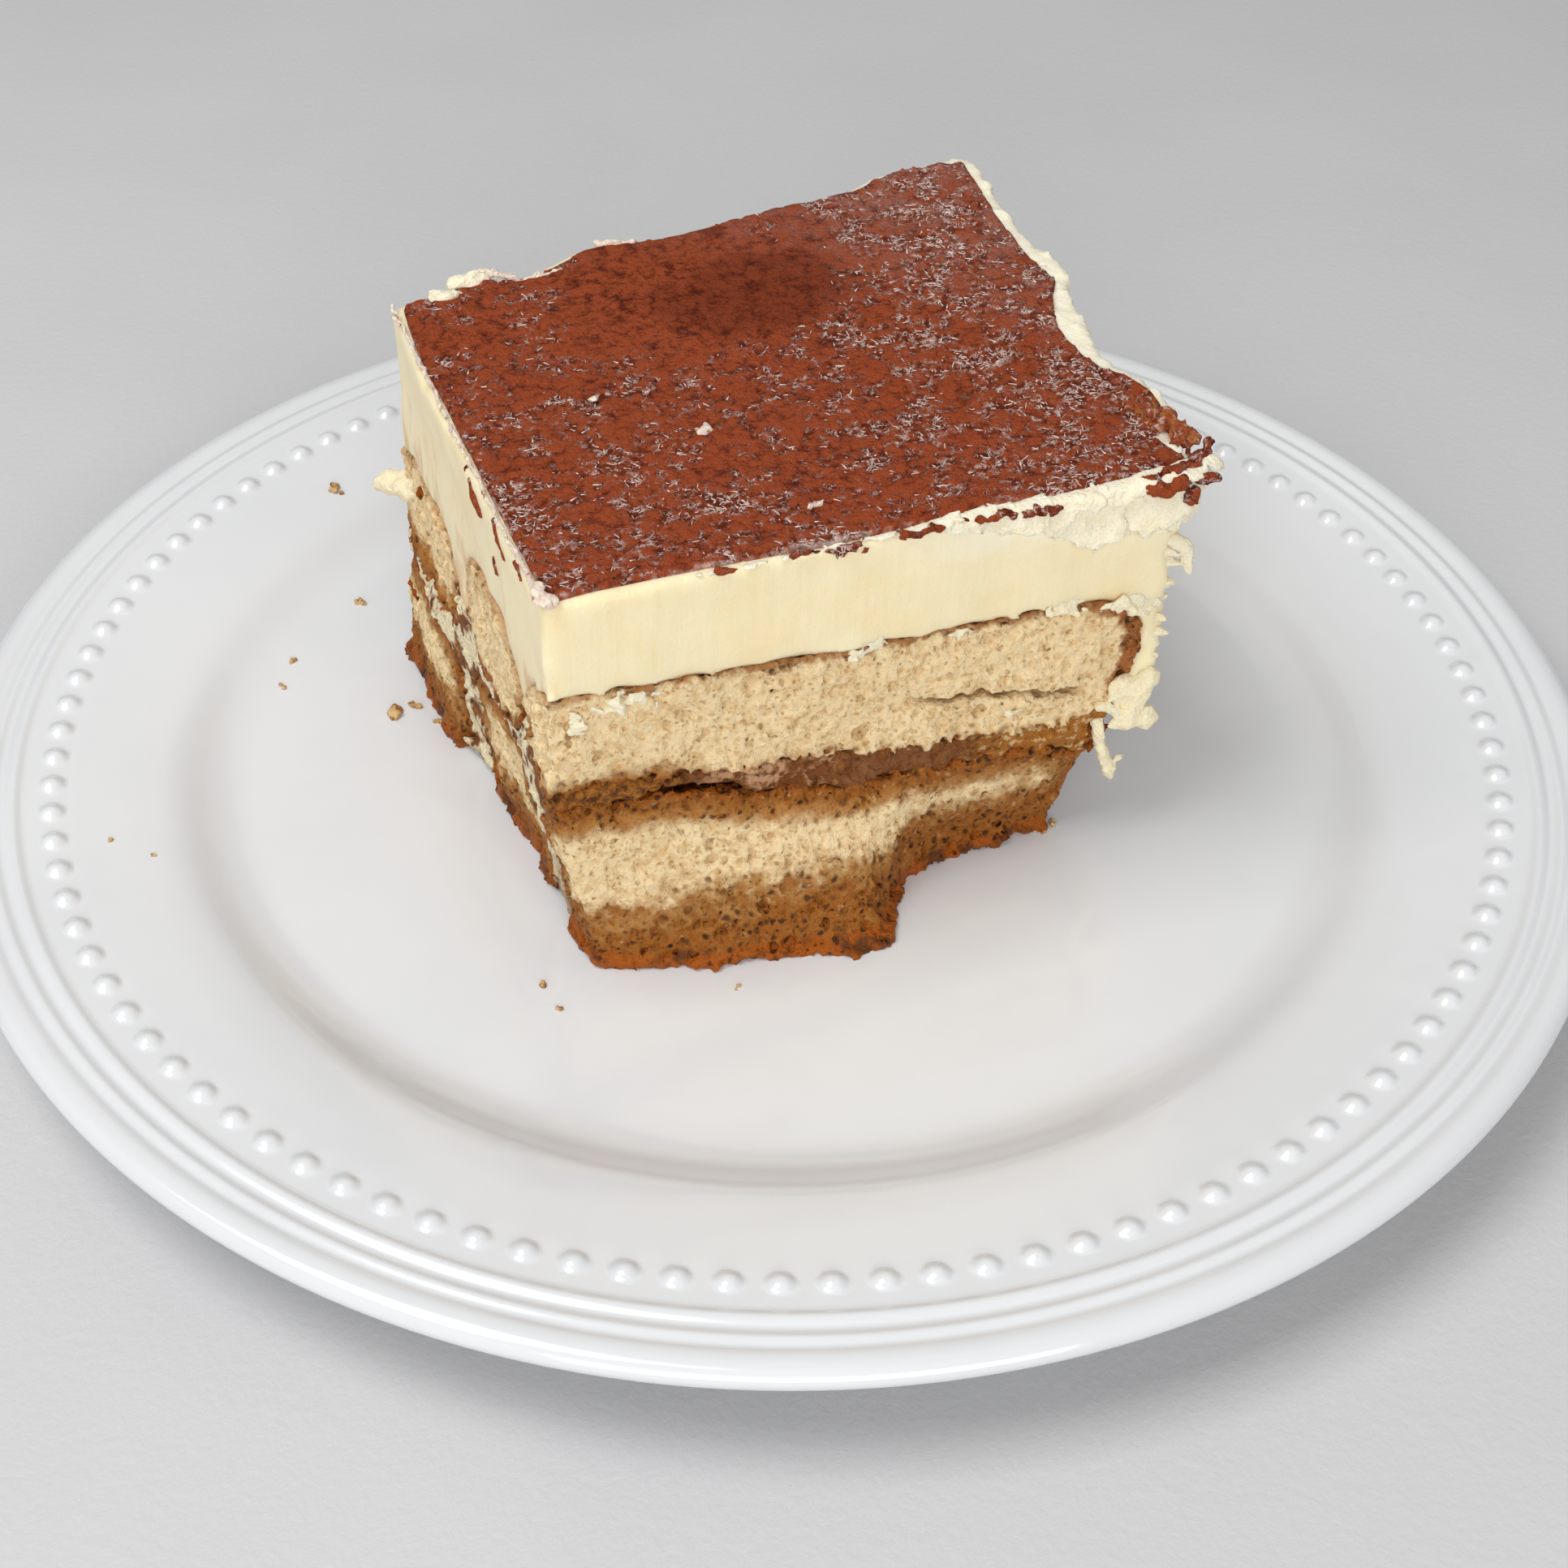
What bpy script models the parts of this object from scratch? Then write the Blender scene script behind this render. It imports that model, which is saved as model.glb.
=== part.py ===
"""A portion of tiramisu on a round white plate with a ring of raised beads.

Lengths are in millimetres and become metres when a mesh is made. The plate stands on Z = 0, round
the Z axis. The portion is drawn in its own frame, which an empty places on the plate: U runs along
its front cut from the left corner, V runs back, and W runs up from the floor of the plate's well.
"""
import math

import bmesh
import bpy
from mathutils import Vector, noise

MM = 0.001
GAP = 0.35

# Plate: levels of the floor's top, the shoulder, the bead ring and the rim, and of the underside
FLOOR_TOP = 7.5
SHOULDER_TOP = FLOOR_TOP + 4.1
BEAD_RING_TOP = FLOOR_TOP + 6.8
RIM_TOP = FLOOR_TOP + 8.1
PLATE_THICKNESS = 4.1
FOOT_HEIGHT = 3.4
# Half section of its upper side, as (radius, height above the level)
WELL = [(74.5, 0.0), (77.5, 0.35), (82.0, 2.46)]
SHOULDER = [(85.5, 0.0), (89.0, 0.85)]
RIDGES = [(97.9, -0.35), (104.7, 0.3), (106.1, 0.85), (107.6, 0.4), (109.0, 0.95), (110.4, 0.7)]
RIM = [(112.6, 0.0), (115.0, -1.1), (113.8, -3.2)]
# Underside: under the ridges, under the shoulder, and where it meets the base
UNDER_RIDGES, UNDER_SHOULDER, UNDER_WELL = (108.0, 0.7), (88.0, 0.6), (80.0, 0.4)
FOOT_RADIUS = 62.5
FOOT_WIDTH = 4.0
FOOT_FILLET = 0.8
FOOT_BEVEL_WIDTH, FOOT_BEVEL_HEIGHT = 0.5, 0.4
PLATE_SEGMENTS = 54
BEAD_COUNT = 108
BEAD_RING_RADIUS = 100.9
BEAD_FIRST_ANGLE = math.radians(131.1)
BEAD_RADIUS = 1.5
BEAD_HEIGHT = 0.95
BEAD_SIDES = 6
# Rings of a bead, as (share of its radius, height); its top is a point
BEAD_RINGS = [(1.1, -0.57), (0.72, 0.589)]
BEAD_SINK = 0.05

# Place of the portion: the front left corner of its top edge, and the heading of its front cut
PORTION_CORNER = (-27.3, -45.0)
PORTION_HEADING = math.radians(21.5)

# Outer surfaces of the portion
FAR_RIGHT = 96.0
TOP_FRONT_LEFT, TOP_FRONT_RIGHT = 59.0, 60.0
TOP_BACK_LEFT, TOP_BACK_RIGHT = 59.2, 61.9
FRONT_WIDTH, LEFT_DEPTH, RIGHT_DEPTH = 81.0, 72.0, 81.0
FRONT_SAG_LOW, FRONT_SAG_HEIGHT = -6.0, 22.0
FRONT_SAG_REACH = 1.13
LEFT_SAG_HEIGHT = 30.0
LEFT_TOP = -0.3
LEFT_START = 2.0
COCOA_THICKNESS = 1.1
WRAP_BOTTOM = 20.5
# Corners of the cream below its ragged top, (U, V), and the heights between which the ragged outline starts
CREAM_CORNERS = [(0, 0), (83, 0), (88.6, RIGHT_DEPTH - 0.5), (-0.2, LEFT_DEPTH)]
RAGGED_FROM, RAGGED_FULL = 45.0, 56.5
# Foot of the front cut, (U, V): it sags forward, and its right half is torn away
FRONT_FOOT = [(-10, -1), (5, -2), (12, -4.2), (21, -6.8), (31, -9.8), (41.5, -9.8), (44, -6.5), (46.5, -0.5),
              (52, 2.2), (58, 3.8), (64, 2.8), (70, 4.6), (76, 10), (100, 14)]
# Foot of the left cut, (V, U)
LEFT_FOOT = [(-12, 5), (8, 3.4), (22, 3.2), (38, 1.6), (46, 0.6), (49, -1.4), (60, -2.2), (72, -1.3), (100, 0)]
# Back cut at the top of the sponge, (U, V)
BACK_LINE = [(-10, 71.5), (0, 72), (30, 75.5), (60, 78.3), (89, 81), (100, 82)]
# Edge of the cream and of the cocoa on it, seen from above, (U, V) anticlockwise from the front left
CREAM_EDGE = [(0, 0), (20, 0.1), (40, -0.3), (60, -0.7), (76, -1.1), (84.6, -2.4), (86.2, 2.5), (84, 6.5),
              (88, 10.5), (88.2, 20), (84.8, 24), (85, 34), (87.6, 42), (89.2, 46), (88.6, 60), (90, 78),
              (90.2, 82), (80, 82), (74, 81.8), (70, 79.2), (58, 78.2), (45, 76), (38, 75.4), (33, 77.3),
              (27, 76.6), (20, 72.8), (16, 72.6), (12, 76.4), (8, 73), (0, 72.4), (-0.8, 60), (-0.6, 36),
              (-0.4, 12)]
COCOA_EDGE = [(0.6, 0.8), (20, 0.7), (40, 0.3), (60, 0.1), (75, 0.2), (83.6, -1.4), (84.6, 2), (81.6, 6.5),
              (86.4, 11), (86.6, 19), (82.4, 24.6), (81.4, 33), (84, 41), (87, 46), (85.6, 52), (86, 62),
              (87.4, 76), (88, 80.6), (80, 80.8), (74.4, 80.6), (71, 78), (58, 77), (45, 74.8), (38, 74.2),
              (33, 76), (27.4, 75.2), (20.4, 71.6), (15.6, 71.6), (12.2, 75), (8, 71.6), (1, 71.2), (0, 60),
              (0.1, 36), (0.3, 12)]
# Ladyfingers: near and far edge (V), underside and top (W), each as (U, value), and the rounded end (U)
FINGERS = {
    "sponge_lower_front": {"near": [(0, -20)], "far": [(0, 8.6), (75, 10)], "bottom": [(0, -3)],
                           "top": [(0, 26.4), (12, 25.6), (23, 22.8), (36, 20.4), (57, 18.6), (75, 17.2)],
                           "end": 75.5},
    "sponge_lower_middle": {"near": [(0, 12.6), (75, 14)], "far": [(0, 40.4), (75, 42.5)],
                            "bottom": [(0, -3)],
                            "top": [(0, 22.8), (40, 20.6), (77, 19.4)], "end": 77.0},
    "sponge_lower_back": {"near": [(0, 44.6), (80, 47)], "far": [(0, 82), (80, 90)], "bottom": [(0, -3)],
                          "top": [(0, 17.8), (40, 18.2), (80, 18)], "end": 80.5},
    "sponge_upper_front": {"near": [(0, -20)], "far": [(0, 8.2), (80, 9.4)],
                           "bottom": [(0, 28.6), (16, 27.6), (32, 25.6), (50, 24), (68, 22.2), (81, 22.6)],
                           "top": [(0, 43.7), (39, 41.8), (81, 40.7)], "end": 80.5},
    "sponge_upper_middle": {"near": [(0, 12.4), (80, 14)], "far": [(0, 38.8), (80, 42)],
                            "bottom": [(0, 25.6), (40, 24), (82, 23.4)],
                            "top": [(0, 41.6), (40, 41), (82, 40.2)], "end": 82.0},
    "sponge_upper_back": {"near": [(0, 43.4), (85, 47)], "far": [(0, 75.5), (40, 82), (85, 90)],
                          "bottom": [(0, 20.4), (40, 21.2), (85, 22)],
                          "top": [(0, 36.2), (40, 37.6), (85, 38.6)], "end": 85.5},
}
FINGER_START = -9.0
FINGER_SQUARENESS = 3.0
FINGER_SIDES = 12
END_RADIUS_PLAN, END_RADIUS_SIDE = 13.0, 8.5
END_ROUNDNESS, END_FULLNESS = 2.3, 0.45
END_STATIONS = 4
BODY_STATIONS = 6

# Height at which the top cream ends in the joints: at the front left corner, and its fall along U and V
SPLIT_CORNER, SPLIT_FALL_U, SPLIT_FALL_V = 34.0, 0.04, 0.11
# Block of space under that height: its left, front and back sides, and how far its right side leans
SPACE_LEFT, SPACE_FRONT, SPACE_BACK = -12.0, -30.0, 100.0
SPACE_LEAN_LOW, SPACE_LEAN_HIGH = 9.0, 8.5
SPACE_CORNER_HIGH = -2.5
MIDDLE_BOTTOM, MIDDLE_RIGHT_LOW, MIDDLE_RIGHT_HIGH = 1.2, 67.0, 78.0
UNDER_BOTTOM, WRAP_INSIDE = -5.0, 78.5

# Grid of the cut faces and its crags
FRONT_STEPS, SIDE_STEPS, RIGHT_STEPS = 25, 18, 4
SPONGE_LEVELS = [0, 4, 8.5, 13, 17.5, 22, 26.5, 31, 35.5, 40, 45, 50]
CREAM_LEVELS = [WRAP_BOTTOM, 26, 31, 36, 42, 48, 53, 56.5]
WRAP_RAGGED = 4.0
TOP_RINGS = [0.92, 0.58]
SPONGE_CRAG, CREAM_CRAG = 1.0, 0.45
FOOT_CRAG, FOOT_CRAG_HEIGHT = 0.9, 9.0
CRAG_SIZE, CREAM_CRAG_SIZE = 7.0, 5.0
# The cream's right side is three times as ragged, from the first of these to the second
RIGHT_FROM, RIGHT_FULL = 78.0, 83.0
CRAG_SEED_U, CRAG_SEED_V = Vector((3.7, 1.9, 8.3)), Vector((41.2, 17.5, 29.9))
TOP_WAVE = 0.3
TOP_WAVE_SIZE = 24.0
TOP_WAVE_SEED = 5.0


def between(table, x):
    """Value at x of a line through (x, value) pairs, held level past both ends."""
    if x <= table[0][0]:
        return table[0][1]
    for (x0, y0), (x1, y1) in zip(table, table[1:]):
        if x <= x1:
            return y0 + (y1 - y0) * (x - x0) / (x1 - x0)
    return table[-1][1]


def smooth(x, low, high):
    """0 below low, 1 above high, and a smooth step between."""
    t = min(max((x - low) / (high - low), 0.0), 1.0)
    return t * t * (3 - 2 * t)


def mix(a, b, t):
    return a + (b - a) * t


def signed_power(x, power):
    return math.copysign(abs(x) ** power, x)


def crag(u, v, w, amount, size=CRAG_SIZE):
    """A smooth sideways push, the same on every run, that makes a cut face uneven."""
    place = Vector((u, v, w)) / size
    return amount * noise.noise(place + CRAG_SEED_U), amount * noise.noise(place + CRAG_SEED_V)


def material(name, color, roughness):
    made = bpy.data.materials.new(name)
    made.use_nodes = True
    shader = made.node_tree.nodes["Principled BSDF"]
    shader.inputs["Base Color"].default_value = (*color, 1.0)
    shader.inputs["Roughness"].default_value = roughness
    shader.inputs["Metallic"].default_value = 0.0
    return made


def solid(name, points, faces, parent=None, finish=None, flat_quads=False):
    """A mesh object with its faces turned outwards, in triangles unless all its quads are flat."""
    mesh = bpy.data.meshes.new(name)
    mesh.from_pydata([[MM * c for c in point] for point in points], [], faces)
    work = bmesh.new()
    work.from_mesh(mesh)
    bmesh.ops.recalc_face_normals(work, faces=work.faces)
    if not flat_quads:
        bmesh.ops.triangulate(work, faces=work.faces)
    work.to_mesh(mesh)
    work.free()
    made = bpy.data.objects.new(name, mesh)
    bpy.context.scene.collection.objects.link(made)
    made.parent = parent
    if finish:
        mesh.materials.append(finish)
    return made


def band(first, second, count):
    """Faces between two closed rings of count points that start at the given indices."""
    return [(first + i, first + (i + 1) % count, second + (i + 1) % count, second + i) for i in range(count)]


def loft(name, rings, start_point=None, end_point=None, parent=None, finish=None, flat_quads=False):
    """A closed solid through rings of equal length, with a fan to a point or a flat cap at each end."""
    count = len(rings[0])
    points = [point for ring in rings for point in ring]
    faces = []
    for i in range(len(rings) - 1):
        faces += band(i * count, (i + 1) * count, count)
    for first, tip in ((0, start_point), ((len(rings) - 1) * count, end_point)):
        if tip is None:
            faces.append(tuple(range(first, first + count)))
        else:
            points.append(tip)
            faces += [(first + i, first + (i + 1) % count, len(points) - 1) for i in range(count)]
    return solid(name, points, faces, parent, finish, flat_quads)


def apply_modifiers(target):
    bpy.context.view_layer.update()
    evaluated = target.evaluated_get(bpy.context.evaluated_depsgraph_get())
    mesh = bpy.data.meshes.new_from_object(evaluated)
    target.modifiers.clear()
    target.data = mesh


def combine(target, operation, others):
    """Cuts target by, or keeps what it shares with, each of the others in turn."""
    for other in others:
        modifier = target.modifiers.new(operation.lower(), "BOOLEAN")
        modifier.operation = operation
        modifier.object = other
    apply_modifiers(target)


def remove(objects):
    for item in list(objects):
        bpy.data.objects.remove(item, do_unlink=True)


# Plate

def raised(outline, level):
    return [(radius, level + height) for radius, height in outline]


def foot_profile():
    """The foot ring's section from its outer side to its inner side."""
    outer, inner = FOOT_RADIUS + FOOT_WIDTH / 2, FOOT_RADIUS - FOOT_WIDTH / 2
    return [(outer + FOOT_FILLET, FOOT_HEIGHT), (outer, FOOT_BEVEL_HEIGHT), (outer - FOOT_BEVEL_WIDTH, 0.0),
            (inner + FOOT_BEVEL_WIDTH, 0.0), (inner, FOOT_BEVEL_HEIGHT), (inner - FOOT_FILLET, FOOT_HEIGHT)]


def plate_profile():
    """The plate's half section as (radius, height), from the floor's centre out and back underneath."""
    upper = raised(WELL, FLOOR_TOP) + raised(SHOULDER, SHOULDER_TOP)
    upper += raised(RIDGES, BEAD_RING_TOP) + raised(RIM, RIM_TOP)
    lower = raised([UNDER_RIDGES], BEAD_RING_TOP - PLATE_THICKNESS)
    lower += raised([UNDER_SHOULDER], SHOULDER_TOP - PLATE_THICKNESS)
    lower += raised([UNDER_WELL], FOOT_HEIGHT)
    return upper + lower + foot_profile()


def turned(name, profile, segments, start, end, finish):
    """A solid turned round Z from a half section, closed on the axis at both ends."""
    rings = []
    for radius, height in profile:
        angles = [2 * math.pi * i / segments for i in range(segments)]
        rings.append([(radius * math.cos(a), radius * math.sin(a), height) for a in angles])
    return loft(name, rings, (0, 0, start), (0, 0, end), finish=finish, flat_quads=True)


def bead(name):
    """One low dome whose foot is sunk below the rim's surface."""
    rings = []
    for share, height in BEAD_RINGS:
        radius = BEAD_RADIUS * share
        angles = [2 * math.pi * (i + 0.5) / BEAD_SIDES for i in range(BEAD_SIDES)]
        rings.append([(radius * math.cos(a), radius * math.sin(a), height) for a in angles])
    return loft(name, rings, None, (0, 0, BEAD_HEIGHT), flat_quads=True)


def make_plate(finish):
    plate = turned("plate", plate_profile(), PLATE_SEGMENTS, FLOOR_TOP, FOOT_HEIGHT, finish)
    beads = bpy.data.collections.new("beads")
    bpy.context.scene.collection.children.link(beads)
    first = bead("bead")
    for i in range(BEAD_COUNT):
        angle = BEAD_FIRST_ANGLE + 2 * math.pi * i / BEAD_COUNT
        copy = bpy.data.objects.new("bead_copy", first.data)
        copy.location = (MM * BEAD_RING_RADIUS * math.cos(angle), MM * BEAD_RING_RADIUS * math.sin(angle),
                         MM * (BEAD_RING_TOP - BEAD_SINK))
        copy.rotation_euler.z = angle
        beads.objects.link(copy)
    join = plate.modifiers.new("beads", "BOOLEAN")
    join.operation = "UNION"
    join.operand_type = "COLLECTION"
    join.collection = beads
    apply_modifiers(plate)
    remove(list(beads.objects) + [first])
    bpy.data.collections.remove(beads)
    return plate


# Outer surfaces of the portion

def top_height(u, v):
    """Height of the cocoa's surface."""
    s, t = u / FRONT_WIDTH, v / RIGHT_DEPTH
    level = mix(mix(TOP_FRONT_LEFT, TOP_FRONT_RIGHT, s), mix(TOP_BACK_LEFT, TOP_BACK_RIGHT, s), t)
    return level + TOP_WAVE * noise.noise(Vector((u, v, TOP_WAVE_SEED)) / TOP_WAVE_SIZE)


def front_at(u, w):
    return between(FRONT_FOOT, u) * (1 - smooth(w, FRONT_SAG_LOW, FRONT_SAG_HEIGHT)) * FRONT_SAG_REACH


def left_at(v, w):
    return mix(between(LEFT_FOOT, v), LEFT_TOP, smooth(w, 0, LEFT_SAG_HEIGHT))


def cut_ring(w):
    """The portion's cut faces at height w, open to the right past every ladyfinger's end."""
    left = left_at(front_at(LEFT_START, w), w)
    front = [mix(left, FAR_RIGHT, i / FRONT_STEPS) for i in range(FRONT_STEPS)]
    ring = [(u, front_at(u, w)) for u in front]
    right = [i / RIGHT_STEPS for i in range(RIGHT_STEPS)]
    ring += [(FAR_RIGHT, mix(front_at(FAR_RIGHT, w), between(BACK_LINE, FAR_RIGHT), t)) for t in right]
    back = [mix(FAR_RIGHT, left_at(LEFT_DEPTH, w), i / FRONT_STEPS) for i in range(FRONT_STEPS)]
    ring += [(u, between(BACK_LINE, u)) for u in back]
    sides = [mix(LEFT_DEPTH, ring[0][1], i / SIDE_STEPS) for i in range(SIDE_STEPS)]
    ring += [(left_at(v, w), v) for v in sides]
    amount = SPONGE_CRAG + FOOT_CRAG * (1 - smooth(w, 0, FOOT_CRAG_HEIGHT))
    pushed = []
    for u, v in ring:
        du, dv = crag(u, v, w, amount)
        pushed.append((u + du, v + dv, w))
    return pushed


def resample(outline, count):
    """Count points spread evenly by length round a closed outline."""
    closed = outline + outline[:1]
    lengths = [0.0]
    for a, b in zip(closed, closed[1:]):
        lengths.append(lengths[-1] + math.dist(a, b))
    across = [(length, point[0]) for length, point in zip(lengths, closed)]
    along = [(length, point[1]) for length, point in zip(lengths, closed)]
    steps = [lengths[-1] * i / count for i in range(count)]
    return [(between(across, s), between(along, s)) for s in steps]


def cream_ring(w, count):
    """The cream's outer side at height w: ragged at the top, and straight below it."""
    straight = resample(CREAM_CORNERS, count)
    ragged = resample(CREAM_EDGE, count)
    share = smooth(w, RAGGED_FROM, RAGGED_FULL)
    ring = []
    for (u0, v0), (u1, v1) in zip(straight, ragged):
        u, v = mix(u0, u1, share), mix(v0, v1, share)
        at_right = smooth(u, RIGHT_FROM, RIGHT_FULL)
        du, dv = crag(u, v, w, CREAM_CRAG * (1 + 2 * at_right), CREAM_CRAG_SIZE)
        hang = WRAP_RAGGED * noise.noise(Vector((u, v, 0)) / CRAG_SIZE) if w == WRAP_BOTTOM else 0.0
        ring.append((u + du, v + dv, w + hang))
    return ring


def domed_top(ring, drop):
    """Rings that close an outline inwards along the top surface, and its middle point."""
    middle_u = sum(p[0] for p in ring) / len(ring)
    middle_v = sum(p[1] for p in ring) / len(ring)
    rings = []
    for scale in [1.0] + TOP_RINGS:
        inner = [(mix(middle_u, p[0], scale), mix(middle_v, p[1], scale)) for p in ring]
        rings.append([(u, v, top_height(u, v) - drop) for u, v in inner])
    return rings, (middle_u, middle_v, top_height(middle_u, middle_v) - drop)


# Pieces of the portion

def finger_section(shape, u, reach, grow):
    """One ring round a ladyfinger at U; reach runs from 0 to 1 over its rounded end."""
    near, far = between(shape["near"], u), between(shape["far"], u)
    bottom, top = between(shape["bottom"], u), between(shape["top"], u)
    past_side = max(0.0, 1 - (1 - reach) * END_RADIUS_PLAN / END_RADIUS_SIDE)
    half_v = (far - near) / 2 * (1 - reach ** END_ROUNDNESS) ** END_FULLNESS + grow
    half_w = (top - bottom) / 2 * (1 - past_side ** END_ROUNDNESS) ** END_FULLNESS + grow
    ring = []
    for i in range(FINGER_SIDES):
        angle = 2 * math.pi * (i + 0.5) / FINGER_SIDES
        v = (near + far) / 2 + half_v * signed_power(math.cos(angle), 2 / FINGER_SQUARENESS)
        w = (bottom + top) / 2 + half_w * signed_power(math.sin(angle), 2 / FINGER_SQUARENESS)
        ring.append((u + grow * reach, v, w))
    return ring


def ladyfinger(name, shape, grow, parent, finish=None):
    """A whole ladyfinger, rounded at its right end and longer than the portion at its left."""
    start, end = FINGER_START - grow, shape["end"]
    rounding = end - END_RADIUS_PLAN
    stations = [mix(start, rounding, i / BODY_STATIONS) for i in range(BODY_STATIONS)]
    rings = [finger_section(shape, u, 0.0, grow) for u in stations]
    for i in range(END_STATIONS):
        reach = math.sin(math.pi / 2 * i / END_STATIONS)
        rings.append(finger_section(shape, rounding + reach * END_RADIUS_PLAN, reach, grow))
    middle_v = (between(shape["near"], end) + between(shape["far"], end)) / 2
    middle_w = (between(shape["bottom"], end) + between(shape["top"], end)) / 2
    return loft(name, rings, None, (end + grow, middle_v, middle_w), parent, finish)


def split_height(u, v):
    """Height at which the top cream ends in the joints between the upper ladyfingers."""
    return SPLIT_CORNER - SPLIT_FALL_U * u - SPLIT_FALL_V * v


def under_space(name, bottom, right_low, right_high, drop, parent):
    """The space between bottom and split_height less drop, as far as the given right edges."""
    low = [(SPACE_LEFT, SPACE_FRONT), (right_low, SPACE_FRONT), (right_low + SPACE_LEAN_LOW, SPACE_BACK),
           (SPACE_LEFT, SPACE_BACK)]
    high = [(SPACE_LEFT, SPACE_FRONT), (right_high + SPACE_CORNER_HIGH, SPACE_FRONT),
            (right_high + SPACE_LEAN_HIGH, SPACE_BACK), (SPACE_LEFT, SPACE_BACK)]
    rings = [[(u, v, bottom) for u, v in low], [(u, v, split_height(u, v) - drop) for u, v in high]]
    return loft(name, rings, parent=parent)


def make_fingers(parent, finish):
    block = loft("cut_faces", [cut_ring(w) for w in SPONGE_LEVELS], parent=parent)
    for name, shape in FINGERS.items():
        finger = ladyfinger(name, shape, 0.0, parent, finish)
        combine(finger, "INTERSECT", [block])
    remove([block])


def make_cream_middle(parent, finish, moulds):
    """The thin cream between the two layers of ladyfingers, and between the lower ones."""
    cream = loft("cream_middle", [cut_ring(w) for w in SPONGE_LEVELS], parent=parent, finish=finish)
    space = under_space("middle_space", MIDDLE_BOTTOM, MIDDLE_RIGHT_LOW, MIDDLE_RIGHT_HIGH, GAP, parent)
    combine(cream, "INTERSECT", [space])
    combine(cream, "DIFFERENCE", moulds)
    remove([space])


def make_cream_top(parent, finish, moulds):
    """The thick cream on the ladyfingers, which also wraps down over their right ends."""
    count = 2 * (FRONT_STEPS + SIDE_STEPS)
    rings = [cream_ring(w, count) for w in CREAM_LEVELS]
    top_rings, middle = domed_top(rings[-1], COCOA_THICKNESS + GAP)
    cream = loft("cream_top", rings + top_rings, None, middle, parent, finish)
    space = under_space("under_space", UNDER_BOTTOM, WRAP_INSIDE, WRAP_INSIDE, 0.0, parent)
    combine(cream, "DIFFERENCE", [space] + moulds)
    remove([space])


def make_cocoa(parent, finish):
    """The skin of cocoa on the cream."""
    outline = resample(COCOA_EDGE, 2 * (FRONT_STEPS + SIDE_STEPS))
    over, top = domed_top(outline, 0.0)
    under, bottom = domed_top(outline, COCOA_THICKNESS)
    return loft("cocoa", list(reversed(under)) + over, bottom, top, parent, finish)


def make_portion():
    sponge = material("sponge", (0.72, 0.58, 0.36), 0.9)
    cream = material("cream", (0.93, 0.85, 0.62), 0.45)
    cocoa = material("cocoa", (0.2, 0.045, 0.018), 0.95)
    place = bpy.data.objects.new("portion_place", None)
    bpy.context.scene.collection.objects.link(place)
    place.location = (MM * PORTION_CORNER[0], MM * PORTION_CORNER[1], MM * (FLOOR_TOP + GAP))
    place.rotation_euler.z = PORTION_HEADING
    make_fingers(place, sponge)
    moulds = [ladyfinger("mould", shape, GAP, place) for shape in FINGERS.values()]
    make_cream_middle(place, cream, moulds)
    make_cream_top(place, cream, moulds)
    remove(moulds)
    make_cocoa(place, cocoa)


remove(bpy.data.objects)
make_plate(material("porcelain", (0.86, 0.86, 0.86), 0.12))
make_portion()
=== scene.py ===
"""Looks of a tiramisu portion on its plate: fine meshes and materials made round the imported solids.

The world is in metres. The portion's pieces are made in the portion's own frame, in millimetres: U runs
along its front cut from the left corner, V runs back, and W runs up from the floor of the plate's well.
Their surfaces are worked out on a grid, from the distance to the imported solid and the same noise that
their materials use. Each such distance is positive inside.
"""
import math
import random
from types import SimpleNamespace

import bmesh
import bpy
from mathutils import Matrix, Vector, noise


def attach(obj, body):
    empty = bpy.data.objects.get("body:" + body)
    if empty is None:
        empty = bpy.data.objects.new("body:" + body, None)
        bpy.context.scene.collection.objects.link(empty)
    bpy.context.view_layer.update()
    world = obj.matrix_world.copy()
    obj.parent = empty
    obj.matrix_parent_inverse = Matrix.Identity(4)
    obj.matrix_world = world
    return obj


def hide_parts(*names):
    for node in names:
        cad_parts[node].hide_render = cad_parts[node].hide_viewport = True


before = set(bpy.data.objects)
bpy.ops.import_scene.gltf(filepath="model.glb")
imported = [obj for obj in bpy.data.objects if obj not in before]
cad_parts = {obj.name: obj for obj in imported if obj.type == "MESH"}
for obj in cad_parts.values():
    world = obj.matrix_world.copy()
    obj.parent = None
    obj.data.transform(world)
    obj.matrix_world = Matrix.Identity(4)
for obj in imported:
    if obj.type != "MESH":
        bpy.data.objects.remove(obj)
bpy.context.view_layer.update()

MM = 0.001

# Place of the portion on the plate
CORNER = Vector((-27.3, -45.0, 7.85)) * MM
HEADING = math.radians(21.5)
PLACE = Matrix.Translation(CORNER) @ Matrix.Rotation(HEADING, 4, "Z") @ Matrix.Scale(MM, 4)

# Camera: the photograph's view, 1932 pixels wide
PHOTO_WIDTH = 1932
FOCAL_PIXELS = 3048.9
SENSOR_WIDTH = 36.0
CAMERA_PLACE = Vector((0.94, -273.68, 237.56)) * MM
CAMERA_TILT, CAMERA_ROLL = math.radians(49.132), math.radians(1.387)

# Plate, in millimetres
BEAD_RING = 100.9
BEAD_COUNT = 108
BEAD_FIRST_ANGLE = math.radians(131.1)
BEAD_RADIUS, BEAD_HEIGHT = 1.65, 0.95
BEAD_ROWS, STEPS_PER_BEAD = 14, 12

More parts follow.
